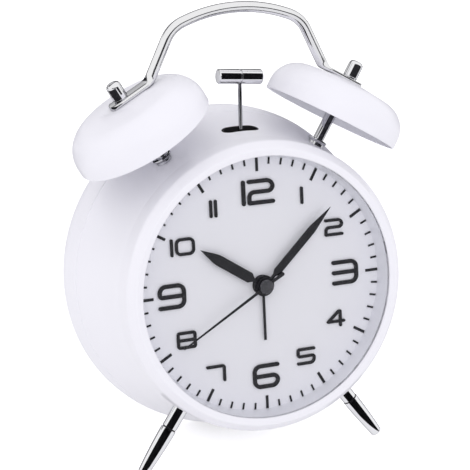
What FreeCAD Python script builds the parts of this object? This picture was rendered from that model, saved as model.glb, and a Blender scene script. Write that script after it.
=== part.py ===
import FreeCAD, Part
import math
import os

import Sketcher
from FreeCAD import Placement, Rotation, Vector

# Twin-bell alarm clock: a white drum on two chrome legs, two bells on posts, a hammer and a handle.
# The clock frame has its origin at the centre of the dial face: X to the right as one reads the dial,
# Y from the dial to the rear, Z towards 12 o'clock. The finished clock leans back on its legs.

SIZES = {
    # Stance and drum
    "lean": 7.0,
    "rim_radius": 54.8,
    "drum_front_radius": 55.2,
    "drum_waist_radius": 57.4,
    "drum_rear_radius": 62.0,
    "cover_radius": 63.4,
    "cover_flare": 8.0,
    "rim_front": 8.6,
    "rim_band": 2.6,
    "ridge_radius": 51.9,
    "ridge_rounding": 0.8,
    "rim_slope": 3.4,
    "rim_swell": 0.6,
    "drum_waist_depth": 17.0,
    "waist_rounding": 150.0,
    "drum_depth": 34.0,
    "case_depth": 50.0,
    "wall": 1.6,
    "rim_rounding": 2.5,
    "lip_rounding": 0.5,
    "lip_drop": 0.7,
    "cover_rounding": 5.0,
    "seam": 0.5,
    "lip_radius": 49.3,
    "lip_thickness": 1.2,
    "bezel_bore": 52.0,
    "fit_gap": 0.1,
    "chamfer": 0.4,
    "ledge_front": 4.2,
    "ledge_rear": 9.0,
    "ledge_bore": 46.0,
    "ledge_pilot_depth": 3.5,
    # Dial
    "lens_thickness": 1.2,
    "dial_thickness": 1.2,
    "dial_view_radius": 48.0,
    "dial_hole": 3.8,
    "chassis_thickness": 1.6,
    "chassis_rim": 2.2,
    "chassis_bend": 0.8,
    "tick_outer": 47.9,
    "hour_tick": 5.0,
    "minute_tick": 2.5,
    "hour_tick_width": 1.05,
    "minute_tick_width": 0.7,
    "tick_height": 0.25,
    "numeral_radius": 35.2,
    "numeral_height": 0.7,
    "big_digit_tall": 9.5,
    "big_digit_wide": 10.9,
    "big_stroke": 1.5,
    "small_digit_tall": 6.6,
    "small_digit_wide": 7.7,
    "small_stroke": 1.1,
    "digit_gap": 0.8,
    # Hands
    "hand_thickness": 0.4,
    "alarm_hand_front": 1.4,
    "hour_hand_front": 2.4,
    "minute_hand_front": 3.4,
    "second_hand_front": 4.3,
    "cap_front": 5.6,
    "cap_radius": 2.65,
    "cap_rounding": 0.8,
    "hour_hub": 4.0,
    "minute_hub": 3.3,
    "alarm_hub": 3.5,
    "second_hub": 1.9,
    "hour_hand_length": 29.6,
    "hour_hand_width": 4.0,
    "minute_hand_length": 38.7,
    "minute_hand_width": 3.1,
    "second_hand_length": 38.6,
    "second_tail": 8.6,
    "alarm_hand_length": 21.0,
    "alarm_hand_width": 0.95,
    "hour_angle": 303.8,
    "minute_angle": 46.0,
    "second_angle": 240.0,
    "alarm_angle": 180.0,
    "second_arbor": 0.5,
    "minute_arbor": 1.3,
    "hour_arbor": 2.1,
    "alarm_arbor": 2.8,
    "running_gap": 0.06,
    "bush_radius": 3.6,
    "arbor_rear": 9.0,
    "arbor_step": 0.5,
    # Movement
    "movement_wide": 52.0,
    "movement_top": 20.0,
    "movement_bottom": 28.0,
    "movement_rear": 18.8,
    "movement_corner": 4.0,
    "movement_seam_depth": 0.4,
    "movement_seam_width": 0.5,
    "stem_depth": 4.0,
    "ear_reach": 34.0,
    "ear_thickness": 2.0,
    "ear_tall": 9.0,
    # Bells, posts and handle
    "bell_angle": 32.5,
    "bell_lean": 30.0,
    "bell_pitch": 3.5,
    "bell_plane": 14.5,
    "bell_top": 84.0,
    "bell_depth": 15.4,
    "bell_radius": 27.1,
    "bell_wall": 0.9,
    "bell_shoulder": 11.0,
    "bell_crown": 2.3,
    "bell_boss": 8.5,
    "bell_boss_rounding": 3.0,
    "post_radius": 2.1,
    "stud_radius": 1.5,
    "collar_radius": 3.8,
    "collar_top": 59.2,
    "collar_height": 4.0,
    "collar_edge": 0.25,
    "collar_dish": 0.5,
    "post_inner_end": 51.0,
    "nut_across": 7.0,
    "nut_thickness": 2.4,
    "tab_thickness": 1.7,
    "tab_width": 7.0,
    "tab_overhang": 5.4,
    "cap_nut_radius": 2.8,
    "cap_nut_height": 6.9,
    "cap_nut_foot": 0.5,
    "cap_nut_rounding": 1.7,
    "handle_radius": 2.05,
    "handle_top": 102.5,
    "handle_arch": 58.0,
    "shoulder_x": 25.6,
    "shoulder_radius": 12.0,
    "bend_x": 35.0,
    "bend_radius": 7.0,
    # Hammer
    "hammer_pivot": 47.0,
    "hammer_head_z": 76.6,
    "hammer_head_length": 17.6,
    "hammer_head_radius": 2.8,
    "hammer_rod_radius": 0.75,
    "hammer_lean": 1.5,
    "head_tilt": 3.5,
    "hammer_groove": 0.3,
    "hammer_head_rounding": 0.6,
    "yoke_radius": 2.6,
    "socket_radius": 1.6,
    "socket_height": 6.5,
    "pivot_radius": 1.0,
    "armature_drop": 6.0,
    "armature_wide": 5.0,
    "armature_tall": 5.0,
    "armature_thickness": 1.6,
    "slot_length": 14.6,
    "slot_width": 6.4,
    "slot_liner_wall": 0.6,
    "pole_gap": 10.4,
    "core_thickness": 2.6,
    "core_depth": 4.0,
    "core_rounding": 0.8,
    "pole_top": 42.0,
    "coil_radius": 3.9,
    "coil_length": 9.0,
    "bobbin_flange": 0.8,
    "bracket_wide": 24.0,
    "bracket_low": 23.5,
    "bracket_high": 53.0,
    "bracket_rear_high": 50.0,
    "bracket_rear": 20.0,
    "sheet": 1.2,
    # Legs
    "leg_angle": 36.0,
    "leg_plane": 6.6,
    "leg_top_radius": 2.85,
    "leg_belly_radius": 3.0,
    "leg_tip_radius": 2.15,
    "leg_tip_rounding": 0.7,
    "leg_groove_at": 64.0,
    "leg_root": 54.0,
    "leg_groove_width": 0.8,
    "leg_groove_depth": 0.45,
    "leg_stud": 1.7,
    "leg_stud_inner": 49.0,
    "leg_stud_outer": 61.5,
    # Rear cover and controls
    "cover_wall": 2.0,
    "cover_spigot": 3.0,
    "cover_recess_radius": 52.0,
    "cover_recess": 3.0,
    "cover_rim_wall": 2.0,
    "screw_circle": 47.5,
    "screw_boss": 3.2,
    "screw_radius": 1.1,
    "screw_bite": 9.0,
    "pilot_depth": 12.0,
    "screw_head": 2.4,
    "screw_head_height": 1.5,
    "bay_wide": 53.0,
    "bay_tall": 30.4,
    "bay_depth": 15.0,
    "bay_centre": 23.0,
    "bay_wall": 1.5,
    "bay_corner": 1.5,
    "door_overlap": 1.6,
    "door_thickness": 2.0,
    "door_gap": 0.3,
    "door_pin": 0.55,
    "door_pin_reach": 1.1,
    "tab_wide": 10.0,
    "tab_tall": 3.4,
    "battery_radius": 7.1,
    "battery_length": 49.2,
    "battery_nub": 1.2,
    "contact_thickness": 0.4,
    "contact_wide": 10.0,
    "spring_wide": 7.0,
    "knob_x": 18.0,
    "knob_z": 11.0,
    "knob_radius": 7.0,
    "knob_height": 7.0,
    "knob_flutes": 20.0,
    "flute_radius": 0.6,
    "knob_clearance": 0.5,
    "knob_stem": 1.5,
    "switch_z": 27.0,
    "switch_travel": 4.0,
    "switch_wide": 5.0,
    "switch_tall": 3.6,
    "switch_proud": 2.4,
    "switch_flange": 14.0,
    "tray_wide": 22.0,
    "tray_tall": 13.0,
    "tray_depth": 5.4,
    "tray_wall": 1.2,
}

LEFT = -1
RIGHT = 1

doc = FreeCAD.newDocument("twin_bell_alarm_clock")
sheet = doc.addObject("Spreadsheet::Sheet", "sizes")
for row, (word, value) in enumerate(SIZES.items(), start=1):
    sheet.set(f"A{row}", word)
    sheet.set(f"B{row}", str(value))
    sheet.setAlias(f"B{row}", word)
doc.recompute()


# Sizes that carry their sheet expression

class Size:
    """A number together with the sheet expression that it comes from."""

    def __init__(self, number, text):
        self.number = float(number)
        self.text = text

    def __add__(self, other):
        return joined(self, other, "+", self.number + number_of(other))

    def __radd__(self, other):
        return joined(other, self, "+", number_of(other) + self.number)

    def __sub__(self, other):
        return joined(self, other, "-", self.number - number_of(other))

    def __rsub__(self, other):
        return joined(other, self, "-", number_of(other) - self.number)

    def __mul__(self, other):
        return joined(self, other, "*", self.number * number_of(other))

    def __rmul__(self, other):
        return joined(other, self, "*", number_of(other) * self.number)

    def __truediv__(self, other):
        return joined(self, other, "/", self.number / number_of(other))

    def __neg__(self):
        return Size(-self.number, f"(0 - {self.text})")

    def __float__(self):
        return self.number


def number_of(value):
    return value.number if isinstance(value, Size) else float(value)


def text_of(value):
    return value.text if isinstance(value, Size) else repr(float(value))


def joined(left, right, sign, number):
    return Size(number, f"({text_of(left)} {sign} {text_of(right)})")


def sine(angle):
    return Size(math.sin(math.radians(number_of(angle))), f"sin({text_of(angle)})")


def cosine(angle):
    return Size(math.cos(math.radians(number_of(angle))), f"cos({text_of(angle)})")


class Sizes:
    """Gives each cell of the sheet by its alias, as a Size."""

    def __getattr__(self, word):
        return Size(sheet.get(word), f"sizes.{word}")


dim = Sizes()


# Where the clock stands: it leans back until both leg tips and the rear rim touch the floor

lean_angle = number_of(dim.lean)
lean_turn = Rotation(Vector(1, 0, 0), -lean_angle)
up_in_clock = lean_turn.inverted().multVec(Vector(0, 0, 1))
rear_edge_centre = Vector(0, float(dim.case_depth - dim.cover_rounding),
                          -float(dim.cover_radius - dim.cover_rounding))
floor_level = up_in_clock.dot(rear_edge_centre) - float(dim.cover_rounding)


def turned_frame(angle, depth):
    """The frame whose Z axis points out from the dial's axis at a clockwise angle from 12 o'clock."""
    return Placement(Vector(0, number_of(depth), 0), Rotation(Vector(0, 1, 0), number_of(angle)))


def post_frame(side):
    """Frame of a post, which stands square on the dial's axis."""
    return turned_frame(side * dim.bell_angle, dim.bell_plane)


def crown_frame():
    """Upright plane through the tops of both posts, tipped a little forward."""
    top = post_frame(RIGHT).multVec(Vector(0, 0, float(dim.bell_top)))
    pitch = Rotation(Vector(1, 0, 0), float(dim.bell_pitch))
    return Placement(Vector(0, top.y, top.z) - pitch.multVec(Vector(0, 0, top.z)), pitch)


def bell_frame(side):
    """Frame of a bell, its nut and its end of the handle: they lean inwards and forward on the post's top."""
    top = post_frame(side).multVec(Vector(0, 0, float(dim.bell_top)))
    turn = crown_frame().Rotation.multiply(Rotation(Vector(0, 1, 0), side * float(dim.bell_lean)))
    return Placement(top - turn.multVec(Vector(0, 0, float(dim.bell_top))), turn)


def leg_reach():
    """Distance from the dial's axis to the tip of a leg that just reaches the floor."""
    axis = Rotation(Vector(0, 1, 0), 180 - float(dim.leg_angle)).multVec(Vector(0, 0, 1))
    start = Vector(0, float(dim.leg_plane), 0)
    tilt = axis.cross(up_in_clock).Length
    rounding = float(dim.leg_tip_rounding)
    ring = float(dim.leg_tip_radius) - rounding
    drop = floor_level + rounding + ring * tilt - up_in_clock.dot(start)
    return rounding + drop / axis.dot(up_in_clock)


leg_tip = leg_reach()


def rim_corners():
    """The front of the rim: its lip, the ridge round it and the outer edge, each with its rounding."""
    return [
        (dim.lip_radius, dim.lip_drop - dim.rim_front, dim.lip_rounding),
        (dim.ridge_radius, -dim.rim_front, dim.ridge_rounding),
        (dim.rim_radius, dim.rim_slope - dim.rim_front, dim.rim_rounding),
    ]


def rounded_corner(before, spot, after, radius):
    """Start, end and centre of the arc that rounds a corner."""
    back, ahead = (before - spot).normalize(), (after - spot).normalize()
    half = back.getAngle(ahead) / 2
    reach = radius / math.tan(half)
    centre = spot + (back + ahead).normalize() * (radius / math.sin(half))
    return spot + back * reach, spot + ahead * reach, centre


def resting_offset():
    """Moves the leaning clock so that the floor is Z = 0 and the origin lies under the middle of its depth."""
    forward = lean_turn.inverted().multVec(Vector(0, -1, 0))
    lip, ridge, edge = [Vector(0, float(depth), -float(radius)) for radius, depth, _ in rim_corners()]
    ridge_centre = rounded_corner(lip, ridge, edge, float(dim.ridge_rounding))[2]
    front = forward.dot(ridge_centre) + float(dim.ridge_rounding)
    rear_centre = Vector(rear_edge_centre.x, rear_edge_centre.y, -rear_edge_centre.z)
    rear = -forward.dot(rear_centre) + float(dim.cover_rounding)
    return Vector(0, (front - rear) / 2, -floor_level)


stance = Placement(resting_offset(), lean_turn)
pieces = []


# Drawing and feature helpers

def keep(piece, label, local=Placement()):
    piece.Label = label
    piece.Placement = stance.multiply(local)
    pieces.append(piece)
    return piece


def new_body(label, local=Placement()):
    return keep(doc.addObject("PartDesign::Body", label), label, local)


def bind(thing, path, size):
    if isinstance(size, Size):
        thing.setExpression(path, size.text)
    else:
        setattr(thing, path, size)


def new_sketch(body, plane, name, offset=None, turn=Rotation(), shift=Vector()):
    """A sketch on one of the body's origin planes, moved along the plane's normal by offset."""
    drawing = body.newObject("Sketcher::SketchObject", name)
    face = next(item for item in body.Origin.OriginFeatures if item.Role == plane)
    drawing.AttachmentSupport = [(face, "")]
    drawing.MapMode = "FlatFace"
    drawing.AttachmentOffset = Placement(shift, turn)
    if offset is not None:
        drawing.setExpression("AttachmentOffset.Base.z", text_of(offset))
        drawing.AttachmentOffset = Placement(Vector(shift.x, shift.y, number_of(offset)), turn)
    return drawing


def fix_point(drawing, geometry, end, x, y):
    """Ties a point of the drawing to two sizes, measured from the drawing's origin."""
    for kind, size in (("DistanceX", x), ("DistanceY", y)):
        index = drawing.addConstraint(Sketcher.Constraint(kind, -1, 1, geometry, end, number_of(size)))
        if isinstance(size, Size):
            drawing.setExpression(f"Constraints[{index}]", size.text)


def outline(drawing, corners):
    """Draws a closed outline of straight runs; a corner's third entry is its rounding radius."""
    spots = [Vector(number_of(c[0]), number_of(c[1]), 0) for c in corners]
    count = len(spots)
    starts, ends, arcs = list(spots), list(spots), {}
    for i, corner in enumerate(corners):
        if len(corner) < 3:
            continue
        before, after, radius = spots[i - 1], spots[(i + 1) % count], number_of(corner[2])
        ends[i], starts[i], centre = rounded_corner(before, spots[i], after, radius)
        turns_left = (before - spots[i]).cross(after - spots[i]).z < 0
        arcs[i] = (centre, radius, turns_left)
    runs = [drawing.addGeometry(Part.LineSegment(starts[i], ends[(i + 1) % count])) for i in range(count)]
    for i, corner in enumerate(corners):
        before_run, after_run = runs[i - 1], runs[i]
        if i not in arcs:
            drawing.addConstraint(Sketcher.Constraint("Coincident", before_run, 2, after_run, 1))
            fix_point(drawing, after_run, 1, corner[0], corner[1])
            continue
        centre, radius, turns_left = arcs[i]
        first, last = (ends[i], starts[i]) if turns_left else (starts[i], ends[i])
        from_angle = math.atan2(first.y - centre.y, first.x - centre.x)
        to_angle = math.atan2(last.y - centre.y, last.x - centre.x)
        ring = Part.Circle(centre, Vector(0, 0, 1), radius)
        arc = drawing.addGeometry(Part.ArcOfCircle(ring, from_angle, to_angle))
        spot = drawing.addGeometry(Part.Point(spots[i]), True)
        into, out = (1, 2) if turns_left else (2, 1)
        drawing.addConstraint(Sketcher.Constraint("Tangent", before_run, 2, arc, into))
        drawing.addConstraint(Sketcher.Constraint("Tangent", arc, out, after_run, 1))
        drawing.addConstraint(Sketcher.Constraint("PointOnObject", spot, 1, before_run))
        drawing.addConstraint(Sketcher.Constraint("PointOnObject", spot, 1, after_run))
        fix_point(drawing, spot, 1, corner[0], corner[1])
        index = drawing.addConstraint(Sketcher.Constraint("Radius", arc, radius))
        if isinstance(corner[2], Size):
            drawing.setExpression(f"Constraints[{index}]", corner[2].text)


def ring_at(drawing, x, y, radius):
    circle = drawing.addGeometry(Part.Circle(Vector(number_of(x), number_of(y), 0), Vector(0, 0, 1),
                                             number_of(radius)))
    fix_point(drawing, circle, 3, x, y)
    index = drawing.addConstraint(Sketcher.Constraint("Radius", circle, number_of(radius)))
    if isinstance(radius, Size):
        drawing.setExpression(f"Constraints[{index}]", radius.text)


def obround(drawing, x, y, length, width):
    """A slot outline with round ends, long in the drawing's X."""
    half = number_of(length) / 2 - number_of(width) / 2
    cx, cy, radius = number_of(x), number_of(y), number_of(width) / 2
    top = drawing.addGeometry(Part.LineSegment(Vector(cx + half, cy + radius, 0), Vector(cx - half, cy + radius, 0)))
    low = drawing.addGeometry(Part.LineSegment(Vector(cx - half, cy - radius, 0), Vector(cx + half, cy - radius, 0)))
    left_ring = Part.Circle(Vector(cx - half, cy, 0), Vector(0, 0, 1), radius)
    right_ring = Part.Circle(Vector(cx + half, cy, 0), Vector(0, 0, 1), radius)
    left = drawing.addGeometry(Part.ArcOfCircle(left_ring, math.pi / 2, 3 * math.pi / 2))
    right = drawing.addGeometry(Part.ArcOfCircle(right_ring, -math.pi / 2, math.pi / 2))
    for arc, end, run, run_end in ((left, 1, top, 2), (left, 2, low, 1), (right, 1, low, 2), (right, 2, top, 1)):
        drawing.addConstraint(Sketcher.Constraint("Tangent", arc, end, run, run_end))
    fix_point(drawing, left, 3, x - (length - width) / 2, y)
    fix_point(drawing, right, 3, x + (length - width) / 2, y)
    index = drawing.addConstraint(Sketcher.Constraint("Radius", left, radius))
    drawing.setExpression(f"Constraints[{index}]", text_of(width / 2))


def revolve(body, drawing, kind="PartDesign::Revolution"):
    feature = body.newObject(kind, drawing.Name + "_turn")
    feature.Profile = drawing
    feature.ReferenceAxis = (drawing, ["V_Axis"])
    feature.Angle = 360
    return feature


def pad(body, drawing, length, backwards=False, both=False):
    feature = body.newObject("PartDesign::Pad", drawing.Name + "_pad")
    feature.Profile = drawing
    feature.Length = number_of(length)
    bind(feature, "Length", length)
    feature.Reversed = backwards
    if both:
        feature.SideType = "Symmetric"
    return feature


def pocket(body, drawing, length, backwards=False, both=False):
    feature = body.newObject("PartDesign::Pocket", drawing.Name + "_cut")
    feature.Profile = drawing
    feature.Length = number_of(length)
    bind(feature, "Length", length)
    feature.Reversed = backwards
    if both:
        feature.SideType = "Symmetric"
    return feature


def turned(label, profile, local=Placement(), along="Y"):
    """A piece turned about the dial's axis (along Y) or about its own upright axis (along Z)."""
    body = new_body(label, local)
    drawing = new_sketch(body, "XY_Plane" if along == "Y" else "XZ_Plane", label + "_profile")
    outline(drawing, profile)
    revolve(body, drawing)
    return body


def radial_hole(body, name, angle, depth, radius, reach):
    """A round hole through one side of a wall, bored outwards from the dial's axis."""
    turn = Rotation(Vector(0, 1, 0), number_of(angle))
    drawing = new_sketch(body, "XY_Plane", name, turn=turn, shift=Vector(0, number_of(depth), 0))
    drawing.setExpression("AttachmentOffset.Base.y", text_of(depth))
    ring_at(drawing, 0, 0, radius)
    pocket(body, drawing, reach, backwards=True)


def axial_circles(body, name, spots, radius, start, length, cut=False):
    """Round bosses or holes parallel to the dial's axis, from the plane Y = start towards the dial."""
    drawing = new_sketch(body, "XZ_Plane", name, offset=-start)
    for x, z in spots:
        ring_at(drawing, x, z, radius)
    if cut:
        pocket(body, drawing, length, backwards=True)
    else:
        pad(body, drawing, length)
    return drawing


def compound(label, members):
    group = doc.addObject("Part::Compound", label)
    group.Links = members
    group.Label = label
    pieces.append(group)
    return group


# The case

def screw_spots():
    reach = dim.screw_circle * math.sqrt(0.5)
    return [(x * reach, z * reach) for x in (LEFT, RIGHT) for z in (LEFT, RIGHT)]


def drum_radius_at(depth):
    """Outer radius of the drum's front cone at a depth behind the dial."""
    slope = (dim.drum_waist_radius - dim.drum_front_radius) / (dim.drum_waist_depth - dim.rim_band)
    return dim.drum_front_radius + slope * (depth - dim.rim_band)


def drum_outline(inset):
    """The flared side of the drum, from front to rear, moved inwards by a wall thickness."""
    return [
        (dim.drum_front_radius - inset, dim.rim_band),
        (dim.drum_waist_radius - inset, dim.drum_waist_depth, dim.waist_rounding),
        (dim.drum_rear_radius - inset, dim.drum_depth),
    ]


def case_drum():
    body = new_body("case_drum")
    drawing = new_sketch(body, "XY_Plane", "drum_profile")
    inner = [
        (dim.drum_rear_radius - dim.wall, dim.drum_depth),
        (dim.drum_waist_radius - dim.wall, dim.drum_waist_depth, dim.waist_rounding),
        (drum_radius_at(dim.ledge_rear) - dim.wall, dim.ledge_rear),
        (dim.ledge_bore, dim.ledge_rear),
        (dim.ledge_bore, dim.ledge_front),
        (dim.drum_front_radius - dim.wall, dim.ledge_front),
        (dim.drum_front_radius - dim.wall, dim.rim_band),
    ]
    outer = drum_outline(0)
    outer[-1] = (dim.drum_rear_radius, dim.drum_depth, dim.seam)
    outline(drawing, outer + inner)
    revolve(body, drawing)
    axial_circles(body, "cover_bosses", screw_spots(), dim.screw_boss,
                  dim.case_depth - dim.cover_recess - dim.cover_wall,
                  dim.case_depth - dim.cover_recess - dim.cover_wall - dim.ledge_rear + 1)
    axial_circles(body, "cover_pilots", screw_spots(), dim.screw_radius,
                  dim.case_depth - dim.cover_recess - dim.cover_wall, dim.pilot_depth, cut=True)
    for side, name in ((LEFT, "left"), (RIGHT, "right")):
        radial_hole(body, f"post_hole_{name}", side * dim.bell_angle, dim.bell_plane,
                    dim.post_radius + dim.fit_gap, dim.drum_rear_radius * 1.2)
        radial_hole(body, f"leg_hole_{name}", 180 - side * dim.leg_angle, dim.leg_plane,
                    dim.leg_stud + dim.fit_gap, dim.drum_rear_radius * 1.2)
    slot = new_sketch(body, "XY_Plane", "hammer_slot")
    obround(slot, 0, dim.bell_plane, dim.slot_length, dim.slot_width)
    pocket(body, slot, dim.drum_rear_radius * 1.2, backwards=True)
    axial_circles(body, "bracket_pilots", bracket_screw_spots(), dim.screw_radius,
                  dim.ledge_rear, dim.ledge_pilot_depth, cut=True)


def bracket_screw_spots():
    return [(side * dim.bracket_wide / 3, dim.bracket_high - dim.screw_head) for side in (LEFT, RIGHT)]


def front_bezel():
    """The rounded front rim, with the lip that holds the lens and a spigot that enters the drum."""
    spigot = dim.drum_front_radius - dim.wall - dim.fit_gap
    band = dim.rim_radius + dim.rim_swell
    turned("front_bezel", [
        *rim_corners(),
        (band, dim.rim_band, dim.seam),
        (spigot, dim.rim_band),
        (spigot, dim.ledge_front - dim.fit_gap),
        (dim.bezel_bore, dim.ledge_front - dim.fit_gap),
        (dim.bezel_bore, dim.lip_thickness - dim.rim_front),
        (dim.lip_radius, dim.lip_thickness - dim.rim_front),
    ])


def lens():
    front = dim.lip_thickness - dim.rim_front
    turned("lens", [
        (0, front),
        (dim.bezel_bore - dim.fit_gap, front),
        (dim.bezel_bore - dim.fit_gap, front + dim.lens_thickness),
        (0, front + dim.lens_thickness),
    ])


def dial_surround():
    """The conical ring between the lens and the dial."""
    front = dim.lip_thickness - dim.rim_front + dim.lens_thickness
    turned("dial_surround", [
        (dim.lip_radius - dim.fit_gap, front),
        (dim.bezel_bore - dim.fit_gap, front),
        (dim.bezel_bore - dim.fit_gap, 0),
        (dim.dial_view_radius, 0),
    ])


def dial_plate():
    turned("dial_plate", [
        (dim.dial_hole, 0),
        (dim.bezel_bore - dim.fit_gap, 0),
        (dim.bezel_bore - dim.fit_gap, dim.dial_thickness),
        (dim.dial_hole, dim.dial_thickness),
    ])


def movement_chassis():
    """The dished plate behind the dial that carries the movement and presses the dial forward."""
    face = dim.dial_thickness
    outer = dim.bezel_bore - dim.fit_gap
    body = turned("movement_chassis", [
        (dim.dial_hole, face),
        (outer, face),
        (outer, dim.ledge_front),
        (outer - dim.chassis_rim, dim.ledge_front),
        (outer - dim.chassis_rim, face + dim.chassis_thickness, dim.chassis_bend),
        (dim.dial_hole, face + dim.chassis_thickness),
    ])
    axial_circles(body, "ear_pilots", ear_spots(), dim.screw_radius,
                  face + dim.chassis_thickness, dim.chassis_thickness, cut=True)


def minute_track():
    """Sixty raised strokes round the dial, the hours longer and wider than the minutes."""
    strokes = []
    for minute in range(60):
        on_hour = minute % 5 == 0
        length = dim.hour_tick if on_hour else dim.minute_tick
        width = dim.hour_tick_width if on_hour else dim.minute_tick_width
        stroke = doc.addObject("Part::Box", f"tick_{minute:02d}")
        for side, size in (("Length", width), ("Width", dim.tick_height), ("Height", length)):
            setattr(stroke, side, size.number)
            bind(stroke, side, size)
        local = turned_frame(6 * minute, 0).multiply(
            Placement(Vector(-float(width) / 2, -float(dim.tick_height), float(dim.tick_outer - length)), Rotation()))
        stroke.Placement = stance.multiply(local)
        strokes.append(stroke)
    compound("minute_track", strokes)


# Raised numerals

def digit_strokes(digit, wide, tall):
    """Centre lines of one digit as runs of points; a point's third entry is its corner rounding."""
    big, small, mid = 0.3 * tall, 0.12 * tall, 0.5 * tall
    return {
        "0": [[(0.5 * wide, 0), (wide, 0, big), (wide, tall, big), (0, tall, big), (0, 0, big), (0.5 * wide, 0)]],
        "1": [[(0, 0), (0, tall)]],
        "2": [[(0, tall), (wide, tall, big), (wide, mid, 0.8 * big), (0, mid, 0.8 * big), (0, 0), (wide, 0)]],
        "3": [[(0, tall), (wide, tall, big), (wide, 0, big), (0, 0)], [(0, mid), (wide, mid)]],
        "4": [[(0.78 * wide, 0), (0.78 * wide, tall), (0.68 * wide, tall), (0, 0.3 * tall), (wide, 0.3 * tall)]],
        "5": [[(wide, tall), (0, tall, small), (0, mid, small), (wide, mid, small), (wide, 0, big), (0, 0)]],
        "6": [[(wide, tall), (0, tall, big), (0, 0, big), (wide, 0, big), (wide, mid, 0.8 * big), (0, mid)]],
        "7": [[(0, tall), (wide, tall, small), (wide, 0)]],
        "8": [[(0.5 * wide, 0), (wide, 0, small), (wide, tall, small), (0, tall, small), (0, 0, small),
               (0.5 * wide, 0)], [(0, mid), (wide, mid)]],
        "9": [[(wide, mid), (0, mid, small), (0, tall, big), (wide, tall, big), (wide, 0, big), (0, 0)]],
    }[digit]


def stroke_solids(points, width, height):
    """One stroke as a bar of even width along its centre line, with rounded corners and round ends."""
    half = width / 2
    path = [Vector(p[0], 0, p[1]) for p in points]
    edges = []
    here = path[0]
    joints = [here]
    for i in range(1, len(points)):
        if len(points[i]) == 3 and i + 1 < len(points):
            before = (path[i - 1] - path[i]).normalize()
            after = (path[i + 1] - path[i]).normalize()
            half_turn = before.getAngle(after) / 2
            reach = points[i][2] / math.tan(half_turn)
            start, end = path[i] + before * reach, path[i] + after * reach
            centre = path[i] + (before + after).normalize() * (points[i][2] / math.sin(half_turn))
            middle = centre + (path[i] - centre).normalize() * points[i][2]
            if (start - here).Length > 1e-6:
                edges.append(Part.LineSegment(here, start).toShape())
            edges.append(Part.Arc(start, middle, end).toShape())
            joints += [start, end]
            here = end
        elif (path[i] - here).Length > 1e-6:
            edges.append(Part.LineSegment(here, path[i]).toShape())
            here = path[i]
            joints.append(here)
    solids = []
    for edge in edges:
        first, last = edge.valueAt(edge.FirstParameter), edge.valueAt(edge.LastParameter)
        along = edge.tangentAt(edge.FirstParameter)
        across = along.cross(Vector(0, 1, 0)).normalize() * half
        section = Part.LineSegment(first - across, first + across).toShape()
        if isinstance(edge.Curve, Part.Line):
            face = section.extrude(last - first)
        else:
            spin = math.degrees(edge.LastParameter - edge.FirstParameter)
            face = section.revolve(edge.Curve.Center, edge.Curve.Axis, spin)
        solids.append(face.extrude(Vector(0, -height, 0)))
    for end in joints:
        solids.append(Part.makeCylinder(half, height, end, Vector(0, -1, 0)))
    return solids


def numeral(text, wide, tall, width, height, gap):
    """A numeral centred on its own origin, standing proud of the dial."""
    figures, pen = [], 0.0
    for digit in text:
        span = 0.0 if digit == "1" else wide - width
        solids = []
        for points in digit_strokes(digit, span, tall - width):
            solids += stroke_solids(points, width, height)
        figure = solids[0].fuse(solids[1:]).removeSplitter()
        figure.translate(Vector(pen + width / 2, 0, width / 2))
        figures.append(figure)
        pen += span + width + gap
    shift = Vector(-(pen - gap) / 2, 0, -tall / 2)
    for figure in figures:
        figure.translate(shift)
    return figures


# How far the centre of a numeral lies from its place on the circle, across and up
NUMERAL_SHIFTS = {
    1: (-0.1, 1.5),
    2: (-0.3, 0.8),
    3: (-1.0, 0.6),
    4: (-0.8, 0.6),
    5: (-0.9, 0.6),
    7: (-2.5, -0.9),
    8: (-0.5, 0.7),
    9: (-0.6, 0.1),
    10: (-0.2, 0.5),
    11: (-0.4, 0.3),
}


def hour_numerals():
    """The twelve upright numerals; every third is large."""
    shapes = []
    height = float(dim.numeral_height)
    for hour in range(1, 13):
        big = hour % 3 == 0
        wide = float(dim.big_digit_wide if big else dim.small_digit_wide)
        tall = float(dim.big_digit_tall if big else dim.small_digit_tall)
        width = float(dim.big_stroke if big else dim.small_stroke)
        across, up = NUMERAL_SHIFTS.get(hour, (0.0, 0.0))
        spot = turned_frame(30 * hour, 0).multVec(Vector(0, 0, float(dim.numeral_radius))) + Vector(across, 0, up)
        for figure in numeral(str(hour), wide, tall, width, height, float(dim.digit_gap)):
            figure.translate(Vector(spot.x, 0, spot.z))
            shapes.append(figure)
    group = doc.addObject("Part::Feature", "hour_numerals")
    group.Shape = Part.makeCompound(shapes)
    keep(group, "hour_numerals")


# Hands and their arbors

def hand(label, blade, front, angle, hub, bore):
    """A flat hand on a round hub, turned to its place on the dial."""
    body = new_body(label, turned_frame(angle, 0))
    drawing = new_sketch(body, "XZ_Plane", label + "_blade", offset=front - dim.hand_thickness)
    outline(drawing, blade)
    pad(body, drawing, dim.hand_thickness)
    disc = new_sketch(body, "XZ_Plane", label + "_hub", offset=front - dim.hand_thickness)
    ring_at(disc, 0, 0, hub)
    pad(body, disc, dim.hand_thickness)
    hole = new_sketch(body, "XZ_Plane", label + "_bore", offset=front - dim.hand_thickness * 2)
    ring_at(hole, 0, 0, bore)
    pocket(body, hole, dim.hand_thickness * 4, backwards=True)
    return body


def mirrored(right_side, tip=None):
    """An outline that is even about the Z axis, from its right side and its tip."""
    left_side = [(-point[0],) + tuple(point[1:]) for point in reversed(right_side)]
    return right_side + ([tip] if tip else []) + left_side


def lance(length, width, neck, neck_end, shoulder):
    """A pointed blade with a narrow neck at the hub."""
    half = width / 2
    return mirrored([
        (neck, -neck),
        (neck, neck_end),
        (half, neck_end + width * 0.45, 1),
        (half, shoulder, 12),
    ], (0, length))


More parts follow.
